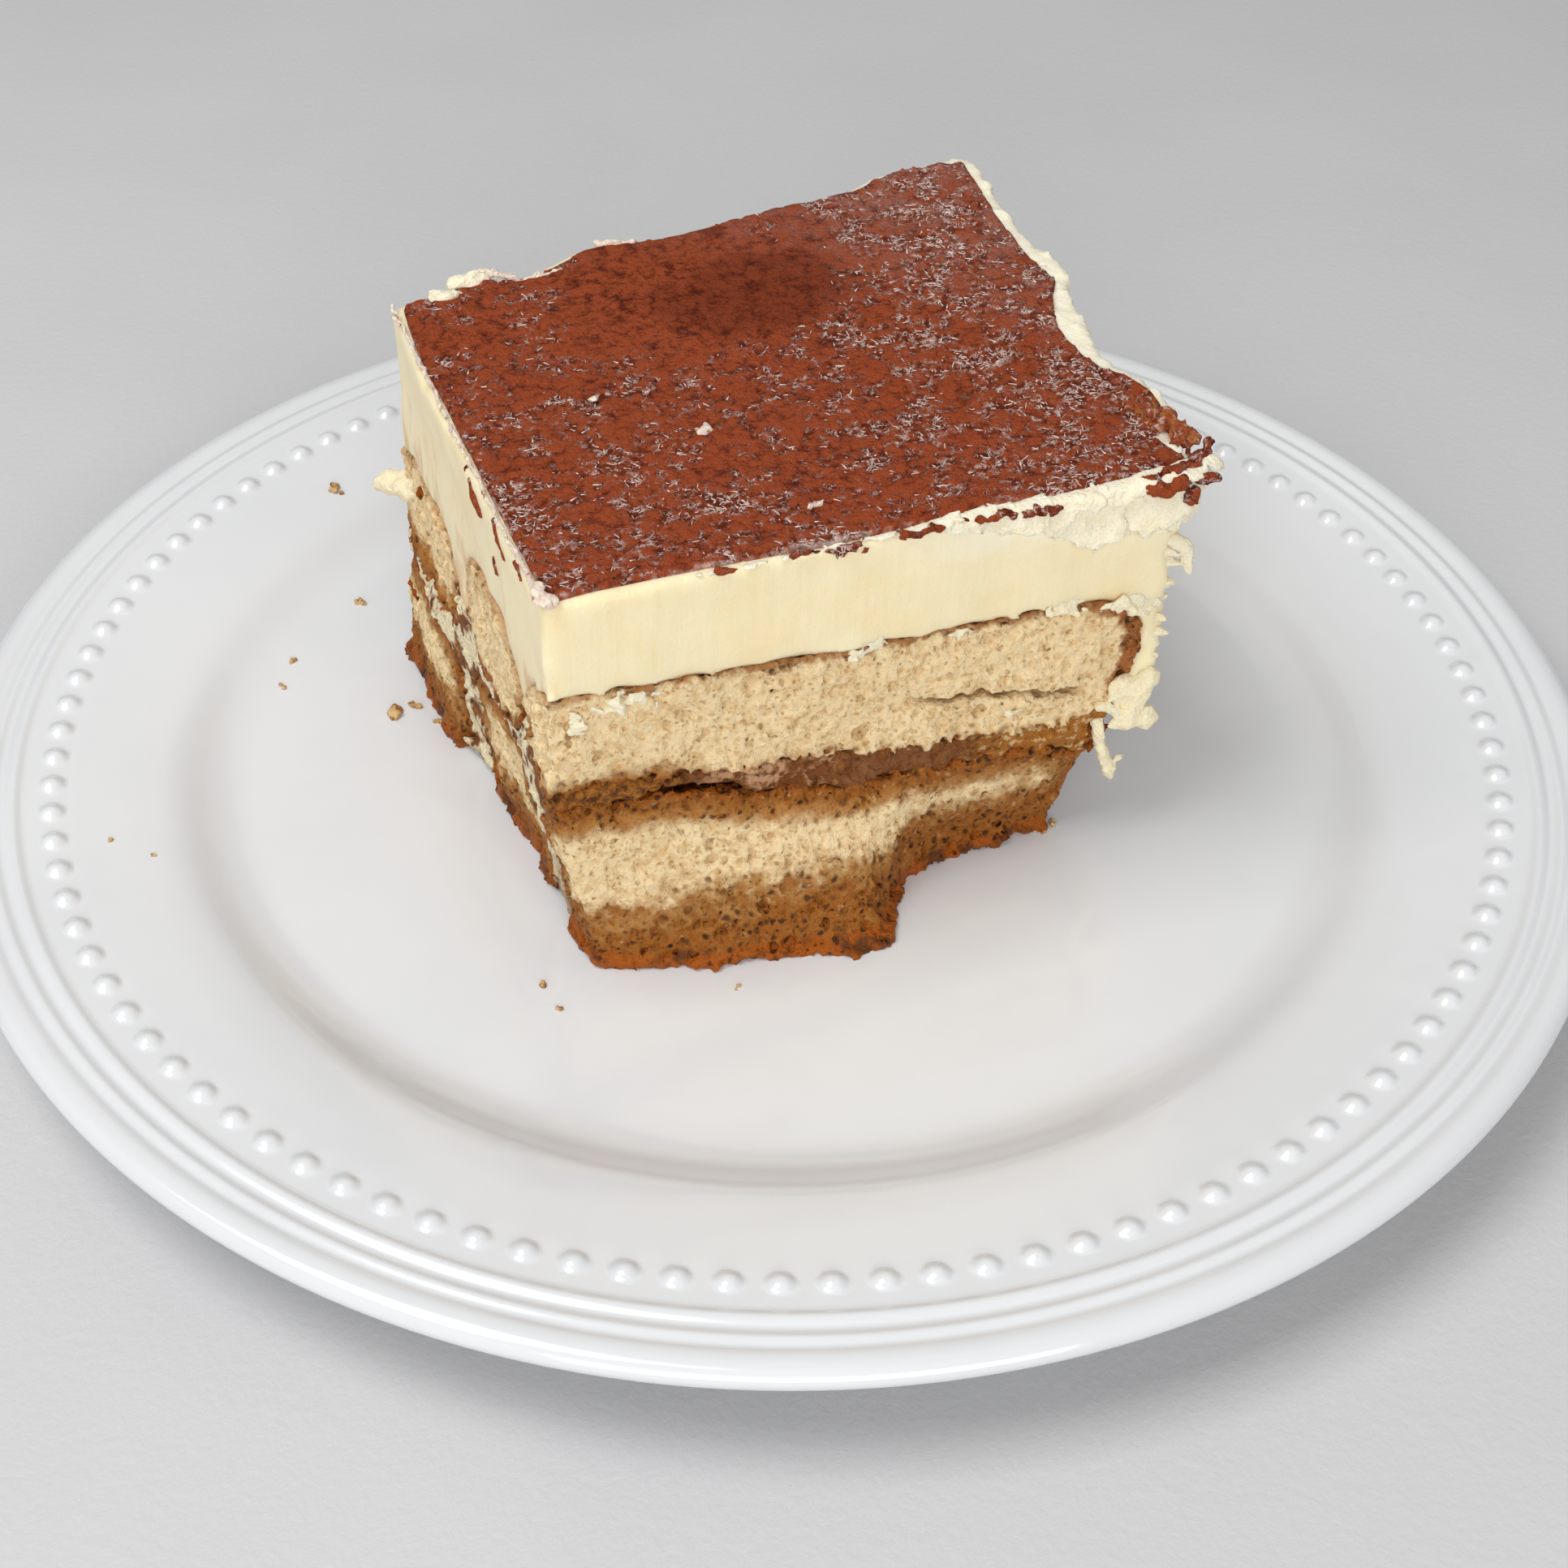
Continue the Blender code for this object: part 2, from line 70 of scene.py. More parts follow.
# The plate's half section as (radius, height): its upper side, and its rim and underside
PLATE_TOP = [(40.0, 7.5), (60.0, 7.5), (72.5, 7.5), (76.0, 7.62), (78.5, 8.2), (80.5, 9.0), (82.3, 10.0),
             (84.0, 10.95), (85.8, 11.65), (88.0, 12.15), (91.0, 12.7), (94.5, 13.25), (98.0, 13.8)]
PLATE_RIM = [(103.8, 14.55), (104.9, 14.7), (105.5, 15.0), (106.1, 15.2), (106.8, 15.05), (107.4, 14.8),
             (108.1, 14.95), (108.6, 15.2), (109.1, 15.3), (109.7, 15.15), (110.3, 15.1), (111.2, 15.45),
             (112.3, 15.6), (113.4, 15.45), (114.2, 14.95), (114.7, 14.2), (114.65, 13.4), (114.1, 12.7),
             (112.6, 12.15), (108.0, 10.9), (98.0, 9.6), (88.0, 8.1), (82.0, 5.4), (79.0, 4.0), (72.0, 3.4),
             (66.0, 3.4), (65.0, 2.9), (64.5, 0.6), (64.0, 0.1), (62.5, 0.04), (61.0, 0.1), (60.5, 0.6),
             (60.0, 2.9), (59.0, 3.4), (40.0, 3.4)]

# Colours, linear
PORCELAIN, PORCELAIN_CLOUD = (0.745, 0.757, 0.775), (0.775, 0.785, 0.8)
FLOOR, FLOOR_CLOUD = (0.62, 0.62, 0.63), (0.65, 0.65, 0.655)
CRUMB_LIGHT, CRUMB_MID, CRUMB_SHADE = (0.94, 0.735, 0.435), (0.8, 0.55, 0.27), (0.5, 0.31, 0.12)
# Painted shade for the crumb's hollows
CRUMB_HOLLOW_SHADE = (0.36, 0.21, 0.08)
SOAKED_PALE, SOAKED, SOAKED_DEEP = (0.43, 0.205, 0.05), (0.33, 0.105, 0.01), (0.13, 0.038, 0.006)
# The darkest soaked colour is both coffee stain and painted shade in the soaked crumb's hollows and pits
SOAKED_DARK_AND_PIT_SHADE, SOAKED_ORANGE = (0.035, 0.012, 0.005), (0.38, 0.09, 0.003)
CREAM, CREAM_WHITE, CREAM_DEEP = (0.98, 0.84, 0.56), (0.99, 0.885, 0.69), (0.92, 0.71, 0.39)
STAINED, STAINED_GREY, STAINED_ORANGE = (0.22, 0.07, 0.013), (0.3, 0.125, 0.045), (0.46, 0.17, 0.02)
STAINED_ROSE = (0.7, 0.4, 0.22)
# The darkest cocoa colour is both a dark tone of the cocoa and painted shade in its valleys and beside its
# threads
COCOA, COCOA_DARK_AND_SHADE, COCOA_PALE = (0.36, 0.073, 0.025), (0.09, 0.014, 0.006), (0.8, 0.6, 0.53)
COCOA_HAZE = (0.42, 0.19, 0.145)
SPECK, SPECK_ROSE = (0.9, 0.75, 0.68), (0.72, 0.48, 0.41)
CRUST_ORANGE = (0.48, 0.17, 0.045)
BISCUIT_TAN = (0.66, 0.4, 0.19)

# How far red, green and blue light scatter, against each other
SCATTER_RADIUS = (1.0, 0.6, 0.3)

# Grids, in millimetres: an offset that keeps values positive, the room round a piece, and the spacing
LEVEL = 20.0
GRID_MARGIN = 2.2
FRONT_CRUMB_VOXEL, CRUMB_VOXEL, CREAM_VOXEL, STAINED_VOXEL = 0.36, 0.47, 0.72, 0.48
COCOA_VOXEL, FLAKE_VOXEL = 0.42, 0.27

# On the front, in millimetres: the stained band, which falls to the right, the tear in the upper
# ladyfinger, and the cream round its right end, which narrows downwards
BAND_HEIGHT, BAND_FALL = 27.5, 0.105
TEAR_MIDDLE, TEAR_FALL, TEAR_DEPTH = (56.2, 29.6), 0.18, 3.2
WRAP_END, WRAP_TOP, WRAP_FOOT, WRAP_NARROWING = 85.0, 46.0, 20.0, 2.4

# Room for the flakes of cream, and the teeth along the cream's front right edge
FLAKE_BOX = Vector((12.0, -5.0, 47.5)), Vector((90.0, 2.2, 61.0))
TEETH_FROM, TEETH_TO, TEETH_ROOT = 24.0, 56.0, 83.3
TEETH_REACHES, TEETH_STEP = (0.0, 0.2, 0.4, 0.8), (1.1, 3.4)

# Patches of the cocoa as (middle, reach) over U and V: where no moisture shows, and a darker one in it
SMOOTH_PATCH = (41.0, 62.0), (22.0, 19.0)
DARK_PATCH = (46.5, 56.0), (15.0, 10.0)

# Torn bits of the portion: lumps as (centre, radii), and chains of (u, v, w, radius)
CRUST_BITS = [
    ((3.6, -0.2, 40.4), (1.5, 0.8, 1.4)), ((10.0, -0.2, 41.3), (4.8, 0.7, 1.2)),
    ((38.9, -0.1, 40.5), (2.2, 0.8, 1.3)), ((41.6, -0.1, 41.4), (1.8, 0.7, 1.2)),
    ((53.7, -0.2, 40.6), (1.3, 0.6, 0.8)), ((68.4, -0.4, 41.2), (2.9, 0.9, 1.2)),
    ((75.6, -0.4, 39.9), (3.4, 0.9, 1.3)), ((80.0, -0.3, 38.8), (2.4, 0.8, 1.4)),
    ((61.4, 0.0, 25.6), (2.0, 0.7, 0.8))]
CREAM_LOBE = [
    ((79.6, -1.1, 20.9), (3.4, 1.2, 1.6)), ((81.7, -1.3, 20.2), (1.7, 0.9, 1.7)),
    ((78.2, 0.0, 25.2), (2.2, 1.2, 2.6))]
CREAM_STRANDS = [
    [(81.6, -0.3, 27.0, 1.5), (79.4, -0.9, 21.8, 1.4)],
    [(74.6, -0.6, 23.8, 0.7), (78.8, -1.0, 21.4, 1.1)],
    [(74.6, -0.8, 20.8, 0.85), (75.8, -1.2, 16.2, 0.8), (77.0, -1.4, 12.1, 0.95)],
    [(76.8, -1.3, 12.8, 0.6), (78.2, -1.4, 14.6, 0.4)],
    [(82.6, -0.2, 48.4, 0.9), (84.6, -0.8, 47.0, 0.85), (85.1, -1.0, 43.6, 0.75)]]
FAR_LUMPS = [((6.6, 70.6, 58.8), (2.6, 1.4, 1.2)), ((11.0, 73.2, 59.0), (2.8, 1.4, 1.4))]
FAR_SMEAR = [[(0.5, 70.0, 30.0, 2.6), (-3.4, 74.6, 28.6, 1.4)]]
DUSTED_LUMPS = [
    ((-0.1, 1.6, 58.8), (0.9, 2.2, 0.7)), ((0.9, 0.4, 58.5), (1.1, 0.8, 0.8)),
    ((29.0, 26.9, 59.6), (1.1, 0.9, 0.35)), ((18.0, 38.7, 59.5), (0.8, 0.7, 0.35)),
    ((36.0, 7.4, 59.3), (1.8, 0.6, 0.3))]
DUSTED_LIP = [[(-0.2, 0.5, 58.5, 0.35), (-0.6, 36.0, 58.7, 0.25), (-0.4, 70.0, 58.8, 0.35)]]
FAR_ROLLS = [
    [(13.4, 74.4, 59.5, 0.55), (18.2, 70.4, 59.3, 0.45), (24.0, 71.8, 59.5, 0.4)],
    [(30.5, 75.6, 60.0, 0.6), (35.4, 74.8, 59.8, 0.5)]]
COCOA_HEM = [
    ((22.0, -0.6, 58.4), (1.4, 0.6, 0.5)), ((31.5, -0.7, 58.6), (2.2, 0.6, 0.5)),
    ((37.2, -0.8, 58.0), (2.8, 0.6, 0.5)), ((46.6, -1.0, 58.6), (3.0, 0.7, 0.55)),
    ((56.2, -1.3, 58.7), (4.2, 0.8, 0.5)), ((61.7, -1.5, 58.1), (3.2, 0.7, 0.5)),
    ((79.6, -2.6, 58.8), (2.8, 0.9, 1.1)), ((82.6, -3.2, 57.0), (0.9, 0.7, 2.0)),
    ((84.6, -2.8, 59.0), (1.6, 0.8, 1.0))]
COCOA_CURL = [[(77.6, -1.4, 59.5, 0.8), (84.0, -0.6, 60.0, 0.9), (88.2, 3.0, 60.4, 0.6)]]
COCOA_STREAKS = [
    [(-0.5, 31.1, 57.4, 0.55), (-0.5, 25.4, 54.7, 0.85)],
    [(-0.5, 19.7, 57.2, 0.45), (-0.5, 14.8, 54.6, 0.3)],
    [(-0.5, 20.8, 51.0, 0.35), (-0.5, 19.6, 49.2, 0.3)],
    [(-0.4, 10.2, 57.6, 0.35), (-0.4, 7.6, 56.6, 0.3)]]
FOLDED_FLAP = [[(82.0, 15.0, 59.8, 1.1), (84.0, 10.0, 60.0, 1.4), (85.8, 4.6, 59.8, 1.1)]]
SOAKED_RIGHT = [((74.9, 0.9, 18.8), (2.0, 1.2, 2.8))]
SOAKED_LEFT = [((-0.6, 70.5, 11.5), (1.2, 1.8, 1.4)), ((-0.3, 64.0, 32.6), (0.9, 1.4, 1.1))]

# Crumbs on the plate as (x, y, size), in the world's millimetres
FALLEN_CRUMBS = [
    (-71.6, 55.5, 1.1), (-65.0, 32.7, 1.0), (-73.6, 11.2, 0.7), (-72.9, 17.5, 0.6), (-56.1, 5.7, 1.3),
    (-53.5, 7.4, 0.9), (-47.5, 6.6, 1.4), (-49.6, 4.4, 0.8), (-29.3, -49.2, 0.8), (-27.1, -52.9, 0.6),
    (-4.3, -48.4, 0.5), (36.6, -16.2, 0.9), (38.6, -15.0, 0.6), (-89.0, -29.0, 0.5), (-83.0, -31.0, 0.4)]

# Stage, in metres and watts: lights as (name, place, size, power), all aimed at the portion
LIGHTS = [
    ("key", (-0.34, -0.16, 0.8), (0.5, 0.5), 4.1), ("front", (0.1, -1.0, 0.5), (1.1, 0.5), 6.9),
    ("top", (0.1, 0.5, 0.95), (1.2, 0.9), 1.2)]
LIGHTS_TARGET = Vector((0.0, 0.0, 0.03))
WORLD_COLOR, WORLD_STRENGTH = (1.0, 0.99, 0.97, 1.0), 0.27
FLOOR_HALF = 4.0


class Value:
    """A socket of a node tree; sums and products of it add Math nodes."""

    def __init__(self, net, socket):
        self.net = net
        self.socket = socket

    def __add__(self, other):
        return self.net.math("ADD", self, other)

    def __sub__(self, other):
        return self.net.math("SUBTRACT", self, other)

    def __rsub__(self, other):
        return self.net.math("SUBTRACT", other, self)

    def __mul__(self, other):
        return self.net.math("MULTIPLY", self, other)

    def __truediv__(self, other):
        return self.net.math("DIVIDE", self, other)

    __radd__ = __add__
    __rmul__ = __mul__


class Net:
    """Builds a node tree, of geometry or of a material, from formulas on values."""

    def __init__(self, tree):
        self.tree = tree
        self.place = None

    def put(self, socket, value):
        if isinstance(value, Value):
            self.tree.links.new(value.socket, socket)
        elif isinstance(value, bpy.types.NodeSocket):
            self.tree.links.new(value, socket)
        elif value is not None:
            socket.default_value = value

    def node(self, kind, inputs=None, **settings):
        made = self.tree.nodes.new(kind)
        for key, value in settings.items():
            setattr(made, key, value)
        for key, value in (inputs or {}).items():
            self.put(made.inputs[key], value)
        return made

    def open_node(self, kind, values, **settings):
        """A node whose usable inputs take the values in order; returns its first usable output."""
        made = self.node(kind, **settings)
        usable = [socket for socket in made.inputs if socket.enabled]
        for socket, value in zip(usable, values):
            self.put(socket, value)
        return Value(self, next(socket for socket in made.outputs if socket.enabled))

    def math(self, operation, *values):
        return self.open_node("ShaderNodeMath", values, operation=operation)

    def vector(self, operation, *values):
        return self.open_node("ShaderNodeVectorMath", values, operation=operation)

    def largest(self, first, *others):
        for other in others:
            first = self.math("MAXIMUM", first, other)
        return first

    def least(self, first, *others):
        for other in others:
            first = self.math("MINIMUM", first, other)
        return first

    def smooth(self, value, low, high):
        """0 below low, 1 above high, and a smooth step between; low may be the larger."""
        if low > high:
            return 1 - self.smooth(value, high, low)
        return self.open_node("ShaderNodeMapRange", [value, low, high, 0.0, 1.0],
                              interpolation_type="SMOOTHSTEP")

    def axes(self, vector=None):
        made = self.node("ShaderNodeSeparateXYZ", {"Vector": vector or self.place})
        return [Value(self, socket) for socket in made.outputs]

    def at(self, size, stretch=(1, 1, 1), shift=0.0, bend=None):
        """The place in units of size, drawn out along each axis by stretch, and bent by a vector."""
        place = self.vector("ADD", self.place, bend) if bend else self.place
        place = self.vector("DIVIDE", place, [size * s for s in stretch])
        return self.vector("ADD", place, (shift, shift * 1.7, shift * 0.6))

    def noise(self, size, detail=2.0, stretch=(1, 1, 1), shift=0.0, bend=None):
        """Noise mostly between -1 and 1, whose lumps are about size wide."""
        made = self.node("ShaderNodeTexNoise", {"Vector": self.at(size, stretch, shift, bend), "Scale": 1.0,
                                                "Detail": detail, "Roughness": 0.55})
        return (Value(self, made.outputs[0]) - 0.5) * 3.2

    def swirl(self, size, amount, shift=0.0):
        """A vector that bends a place by up to about amount."""
        made = self.node("ShaderNodeTexNoise", {"Vector": self.at(size, shift=shift), "Scale": 1.0,
                                                "Detail": 1.0})
        centred = self.vector("SUBTRACT", made.outputs[1], (0.5, 0.5, 0.5))
        return self.vector("MULTIPLY", centred, [amount * 3.2] * 3)

    def cells(self, size, shift=0.0, bend=None):
        """Distance to the nearest of scattered points, in units of size, and that point's random value."""
        made = self.node("ShaderNodeTexVoronoi", {"Vector": self.at(size, shift=shift, bend=bend),
                                                  "Scale": 1.0})
        return Value(self, made.outputs["Distance"]), self.axes(made.outputs["Color"])[0]

    def blend(self, share, first, second):
        colors = [(*c, 1.0) if isinstance(c, tuple) else c for c in (first, second)]
        return self.open_node("ShaderNodeMix", [share, *colors], data_type="RGBA")


def new_object(name, data):
    made = bpy.data.objects.new(name, data)
    bpy.context.scene.collection.objects.link(made)
    return made


# Surfaces worked out on a grid

def guide_of(source):
    """A copy of an object in the portion's frame, for distances to it to be read."""
    mesh = source.data.copy()
    mesh.transform(PLACE.inverted())
    return new_object("guide", mesh)


def box_round(points):
    """The low and high corner of a box round some points, with room for relief."""
    low = Vector([min(point[i] for point in points) - GRID_MARGIN for i in range(3)])
    high = Vector([max(point[i] for point in points) + GRID_MARGIN for i in range(3)])
    return low, high


def guide_box(guide):
    return box_round([vertex.co for vertex in guide.data.vertices])


def geometry_of(net, guide):
    return net.node("GeometryNodeObjectInfo", {"Object": guide}).outputs["Geometry"]


def gap_to(net, guide):
    """Distance to the guide's surface."""
    return Value(net, net.node("GeometryNodeProximity", {0: geometry_of(net, guide)}).outputs["Distance"])


def depth_in(net, guide, lift=0.0):
    """Depth inside the guide, raised by lift: a slanted ray that leaves through a face began inside."""
    geometry = geometry_of(net, guide)
    place = net.vector("ADD", net.place, (0, 0, -lift))
    slant = (0.13, 0.21, 1.0)
    near = net.node("GeometryNodeProximity", {0: geometry, 2: place})
    ray = net.node("GeometryNodeRaycast", {"Target Geometry": geometry, "Source Position": place,
                                           "Ray Direction": slant, "Ray Length": 300.0})
    along = net.open_node("ShaderNodeVectorMath", [ray.outputs["Hit Normal"], slant], operation="DOT_PRODUCT")
    leaves = net.math("GREATER_THAN", along, 0.0) * Value(net, ray.outputs["Is Hit"])
    return Value(net, near.outputs["Distance"]) * (leaves * 2 - 1)


def without_scraps(net, geometry, least_points):
    """Drops islands of fewer points than least_points."""
    island = net.node("GeometryNodeInputMeshIsland").outputs["Island Index"]
    total = net.node("GeometryNodeAccumulateField", {"Value": 1.0, "Group ID": island}).outputs["Total"]
    small = net.math("LESS_THAN", Value(net, total), least_points)
    return net.node("GeometryNodeDeleteGeometry", {"Geometry": geometry, "Selection": small}).outputs[0]


def moved(net, geometry, position=None, offset=None):
    return net.node("GeometryNodeSetPosition", {"Geometry": geometry, "Position": position,
                                                "Offset": offset}).outputs[0]


def softened(net, geometry, rounds):
    mean = net.open_node("GeometryNodeBlurAttribute", [net.place, rounds], data_type="FLOAT_VECTOR")
    return moved(net, geometry, position=mean)


def pushed(net, geometry, amount):
    """Every point moved outwards by an amount."""
    normal = Value(net, net.node("GeometryNodeInputNormal").outputs[0])
    spread = net.node("ShaderNodeCombineXYZ", {0: amount, 1: amount, 2: amount}).outputs[0]
    return moved(net, geometry, offset=net.vector("MULTIPLY", normal, spread))


def new_net(name):
    tree = bpy.data.node_groups.new(name, "GeometryNodeTree")
    tree.interface.new_socket("Geometry", in_out="OUTPUT", socket_type="NodeSocketGeometry")
    net = Net(tree)
    net.place = Value(net, net.node("GeometryNodeInputPosition").outputs[0])
    return net


def mesh_from(net, geometry):
    """The mesh that a geometry tree makes, moved from the portion's frame into the world."""
    net.node("NodeGroupOutput", {0: geometry})
    maker = new_object("maker", bpy.data.meshes.new("maker"))
    maker.modifiers.new("maker", "NODES").node_group = net.tree
    view = bpy.context.evaluated_depsgraph_get()
    mesh = bpy.data.meshes.new_from_object(maker.evaluated_get(view))
    bpy.data.objects.remove(maker, do_unlink=True)
    mesh.transform(PLACE)
    return mesh


def moulded(name, box, voxel, field, rounds=0, relief=None, marks=None, adaptivity=0.0, least_points=300):
    """A mesh where field is zero; marks are values kept on its points for its material."""
    net = new_net(name)
    low, high = box
    steps = [max(2, round((b - a) / voxel)) for a, b in zip(low, high)]
    cube = net.node("GeometryNodeVolumeCube", {
        "Density": field(net) + LEVEL, "Min": low, "Max": high,
        "Resolution X": steps[0], "Resolution Y": steps[1], "Resolution Z": steps[2]})
    shape = net.node("GeometryNodeVolumeToMesh", {"Volume": cube.outputs[0], "Threshold": LEVEL,
                                                  "Adaptivity": adaptivity}).outputs[0]
    shape = without_scraps(net, shape, least_points)
    if rounds:
        shape = softened(net, shape, rounds)
    if relief:
        shape = pushed(net, shape, relief(net))
    for mark, rule in (marks or {}).items():
        shape = net.node("GeometryNodeStoreNamedAttribute", {"Geometry": shape, "Name": mark,
                                                             "Value": rule(net)}).outputs[0]
    return mesh_from(net, shape)


def piece(name, mesh, finish, replaced=()):
    """A finished piece of the portion or the plate."""
    mesh.name = name
    mesh.materials.clear()
    mesh.materials.append(finish)
    mesh.shade_smooth()
    made = new_object(name, mesh)
    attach(made, "root")
    if replaced:
        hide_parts(*replaced)


# Materials

class Finish(Net):
    """The net of a material, with places in the portion's frame, and its shader."""

    def __init__(self, name, roughness=0.8, specular=0.5, scatter=0.0, scatter_scale=0.002):
        self.material = bpy.data.materials.new(name)
        self.material.use_nodes = True
        super().__init__(self.material.node_tree)
        coordinates = self.node("ShaderNodeTexCoord")
        mapping = self.node("ShaderNodeMapping", {
            "Vector": coordinates.outputs["Object"], "Location": CORNER, "Rotation": (0, 0, HEADING),
            "Scale": (MM, MM, MM)}, vector_type="TEXTURE")
        self.place = Value(self, mapping.outputs[0])
        self.shader = self.tree.nodes["Principled BSDF"]
        self.feed("Roughness", roughness)
        self.feed("Specular IOR Level", specular)
        self.feed("Subsurface Weight", scatter)
        self.feed("Subsurface Radius", SCATTER_RADIUS)
        self.feed("Subsurface Scale", scatter_scale)

    def feed(self, key, value):
        """Sets a constant on one of the shader's sockets, or links a value to it."""
        self.put(self.shader.inputs[key], value)

    def mark(self, name):
        """A value kept on the mesh's points."""
        return Value(self, self.node("ShaderNodeAttribute", attribute_name=name).outputs["Fac"])

    def bump(self, height, distance):
        """Fine relief: a height of 1 stands for distance millimetres."""
        made = self.node("ShaderNodeBump", {"Height": height, "Distance": distance * MM, "Strength": 1.0})
        self.feed("Normal", made.outputs[0])


def porcelain():
    net = Finish("glazed_porcelain")
    net.feed("Coat Weight", 0.3)
    net.feed("Coat Roughness", 0.05)
    cloud = net.noise(24.0, 3.0)
    net.feed("Base Color", net.blend(net.smooth(cloud, -1, 1), PORCELAIN, PORCELAIN_CLOUD))
    net.feed("Roughness", net.smooth(net.noise(9.0, 3.0), -1.5, 1.5) * 0.07 + 0.1)
    net.bump(net.noise(7.0, 1.0), 0.02)
    return net.material


def floor_finish():
    net = Finish("pale_floor", roughness=0.7)
    cloud = net.smooth(net.noise(60.0, 4.0), -1, 1)
    net.feed("Base Color", net.blend(cloud, FLOOR, FLOOR_CLOUD))
    net.bump(net.noise(1.2, 3.0), 0.03)
    return net.material


def crumb_bubbles(net):
    """Foam, from 0 in the middle of a bubble to 1 between bubbles, open holes in it, and wider pits."""
    bend = net.swirl(1.8, 0.4)
    bubble, chance = net.cells(1.5, bend=bend)
    fine, rare = net.cells(0.7, shift=4.0, bend=bend)
    foam = net.smooth(bubble, 0.1, 0.7) * 0.5 + net.smooth(fine, 0.1, 0.6) * 0.5
    holes = net.largest(net.smooth(bubble, 0.33, 0.15) * net.smooth(chance, 0.5, 0.75),
                        net.smooth(fine, 0.36, 0.16) * net.smooth(rare, 0.7, 0.9))
    pits = net.smooth(bubble, 0.48, 0.12) * net.smooth(chance, 0.25, 0.5)
    return foam, holes, pits


def soaked_zones(net, foam):
    """Where coffee tans and wets the crumb, the glossy edge of its foot, its darkest core, and its tints,
    which carry painted shade in the middle of each bubble.
    """
    u, _, w = net.axes()
    near_top, near_middle = net.mark("near_top"), net.mark("near_middle")
    ragged = net.noise(2.0, 4.0, shift=7.0)
    drift = net.noise(8.0, 2.0, shift=1.0)
    blotch = net.noise(3.4, 3.0, shift=11.0)
    # Random tint, with painted shade in the middle of each bubble from the foam
    tint_and_foam_shade = blotch * 0.7 + net.noise(1.4, 3.0, shift=13.0) * 0.7 + (foam - 0.55) * 1.6
    below = net.smooth(w + u * BAND_FALL, BAND_HEIGHT + 0.5, BAND_HEIGHT - 0.5)
    foot = w + ragged * 2.5 + drift * 1.3 + 0.8 - net.smooth(u, 6.0, 26.0) * 2.2
    tufted = (1 - below) * net.smooth(u, 14.0, 24.0)
    faded = near_middle + ragged * 1.2 + drift * 0.8 - below * 2.2 + tufted * 1.8
    tan = net.largest(net.smooth(foot, 11.0, 7.6), net.smooth(faded, 3.5, 0.9))
    layer = net.smooth(near_middle + ragged * 0.9 + drift * 0.5 - below * 1.1 + tufted * 1.2, 1.9, 0.4)
    end = net.smooth(u, 69.0, 78.0)
    crust = net.smooth(near_top + ragged * 1.1 + net.noise(4.0, 1.0, shift=5.0) * 0.6 - end * 1.6, 1.7, 0.4)
    crust = crust * (net.smooth(u, 1.0, 6.0) * 0.4 + 0.6)
    wet = net.largest(net.smooth(foot + blotch * 2.4, 8.6, 4.6), layer, crust * 0.9)
    edge = net.smooth(w + ragged * 0.8, 2.6, 1.4)
    core = net.largest(net.smooth(near_middle + ragged * 0.5, 0.9, 0.1), end * crust * 0.8)
    return SimpleNamespace(tan=tan, wet=wet, edge=edge, core=core, below=below, tint_and_foam_shade=tint_and_foam_shade, blotch=blotch)


def dry_crumb(net, foam):
    # Random tone, with painted shade in the middle of each bubble and painted light on the raised walls
    # between bubbles, from the foam
    tone_and_foam_shade = net.noise(6.0, 2.0, shift=3.0) * 0.35 + net.noise(1.6, 3.0) * 0.6 + (foam - 0.5) * 1.2
    color = net.blend(net.smooth(tone_and_foam_shade, -1.1, -0.1), CRUMB_SHADE, CRUMB_MID)
    return net.blend(net.smooth(tone_and_foam_shade, -0.4, 0.65), color, CRUMB_LIGHT)


def soaked_crumb(net, color, zone):
    """The crumb's colour with the coffee in it, from the palest stain to the darkest."""
    w = net.axes()[2]
    tanned = net.blend(net.smooth(zone.tint_and_foam_shade, -0.5, 0.8), SOAKED, SOAKED_PALE)
    tanned = net.blend(zone.below * net.smooth(w, 14.0, 17.0) * 0.5, tanned, STAINED_ORANGE)
    color = net.blend(zone.tan * 0.94, color, tanned)
    soaked = net.blend(net.smooth(zone.tint_and_foam_shade, -0.9, 0.0), SOAKED_DEEP, SOAKED)
    soaked = net.blend(net.smooth(zone.tint_and_foam_shade, 0.5, 1.3) * 0.5, soaked, SOAKED_PALE)
    color = net.blend(zone.wet * 0.94, color, soaked)
    glossy = net.blend(net.smooth(zone.blotch, -0.5, 0.2), SOAKED_DEEP, SOAKED_ORANGE)
    color = net.blend(zone.edge, color, glossy)
    darkest = net.blend(net.smooth(zone.tint_and_foam_shade, -0.4, 0.5), SOAKED_DARK_AND_PIT_SHADE, SOAKED_ORANGE)
    color = net.blend(zone.core * 0.75, color, darkest)
    spots = net.smooth(net.noise(1.4, 3.0, shift=17.0), 0.35, 0.85) * net.largest(zone.wet, zone.tan * 0.5)
    return net.blend(spots * 0.7, color, SOAKED_DARK_AND_PIT_SHADE)


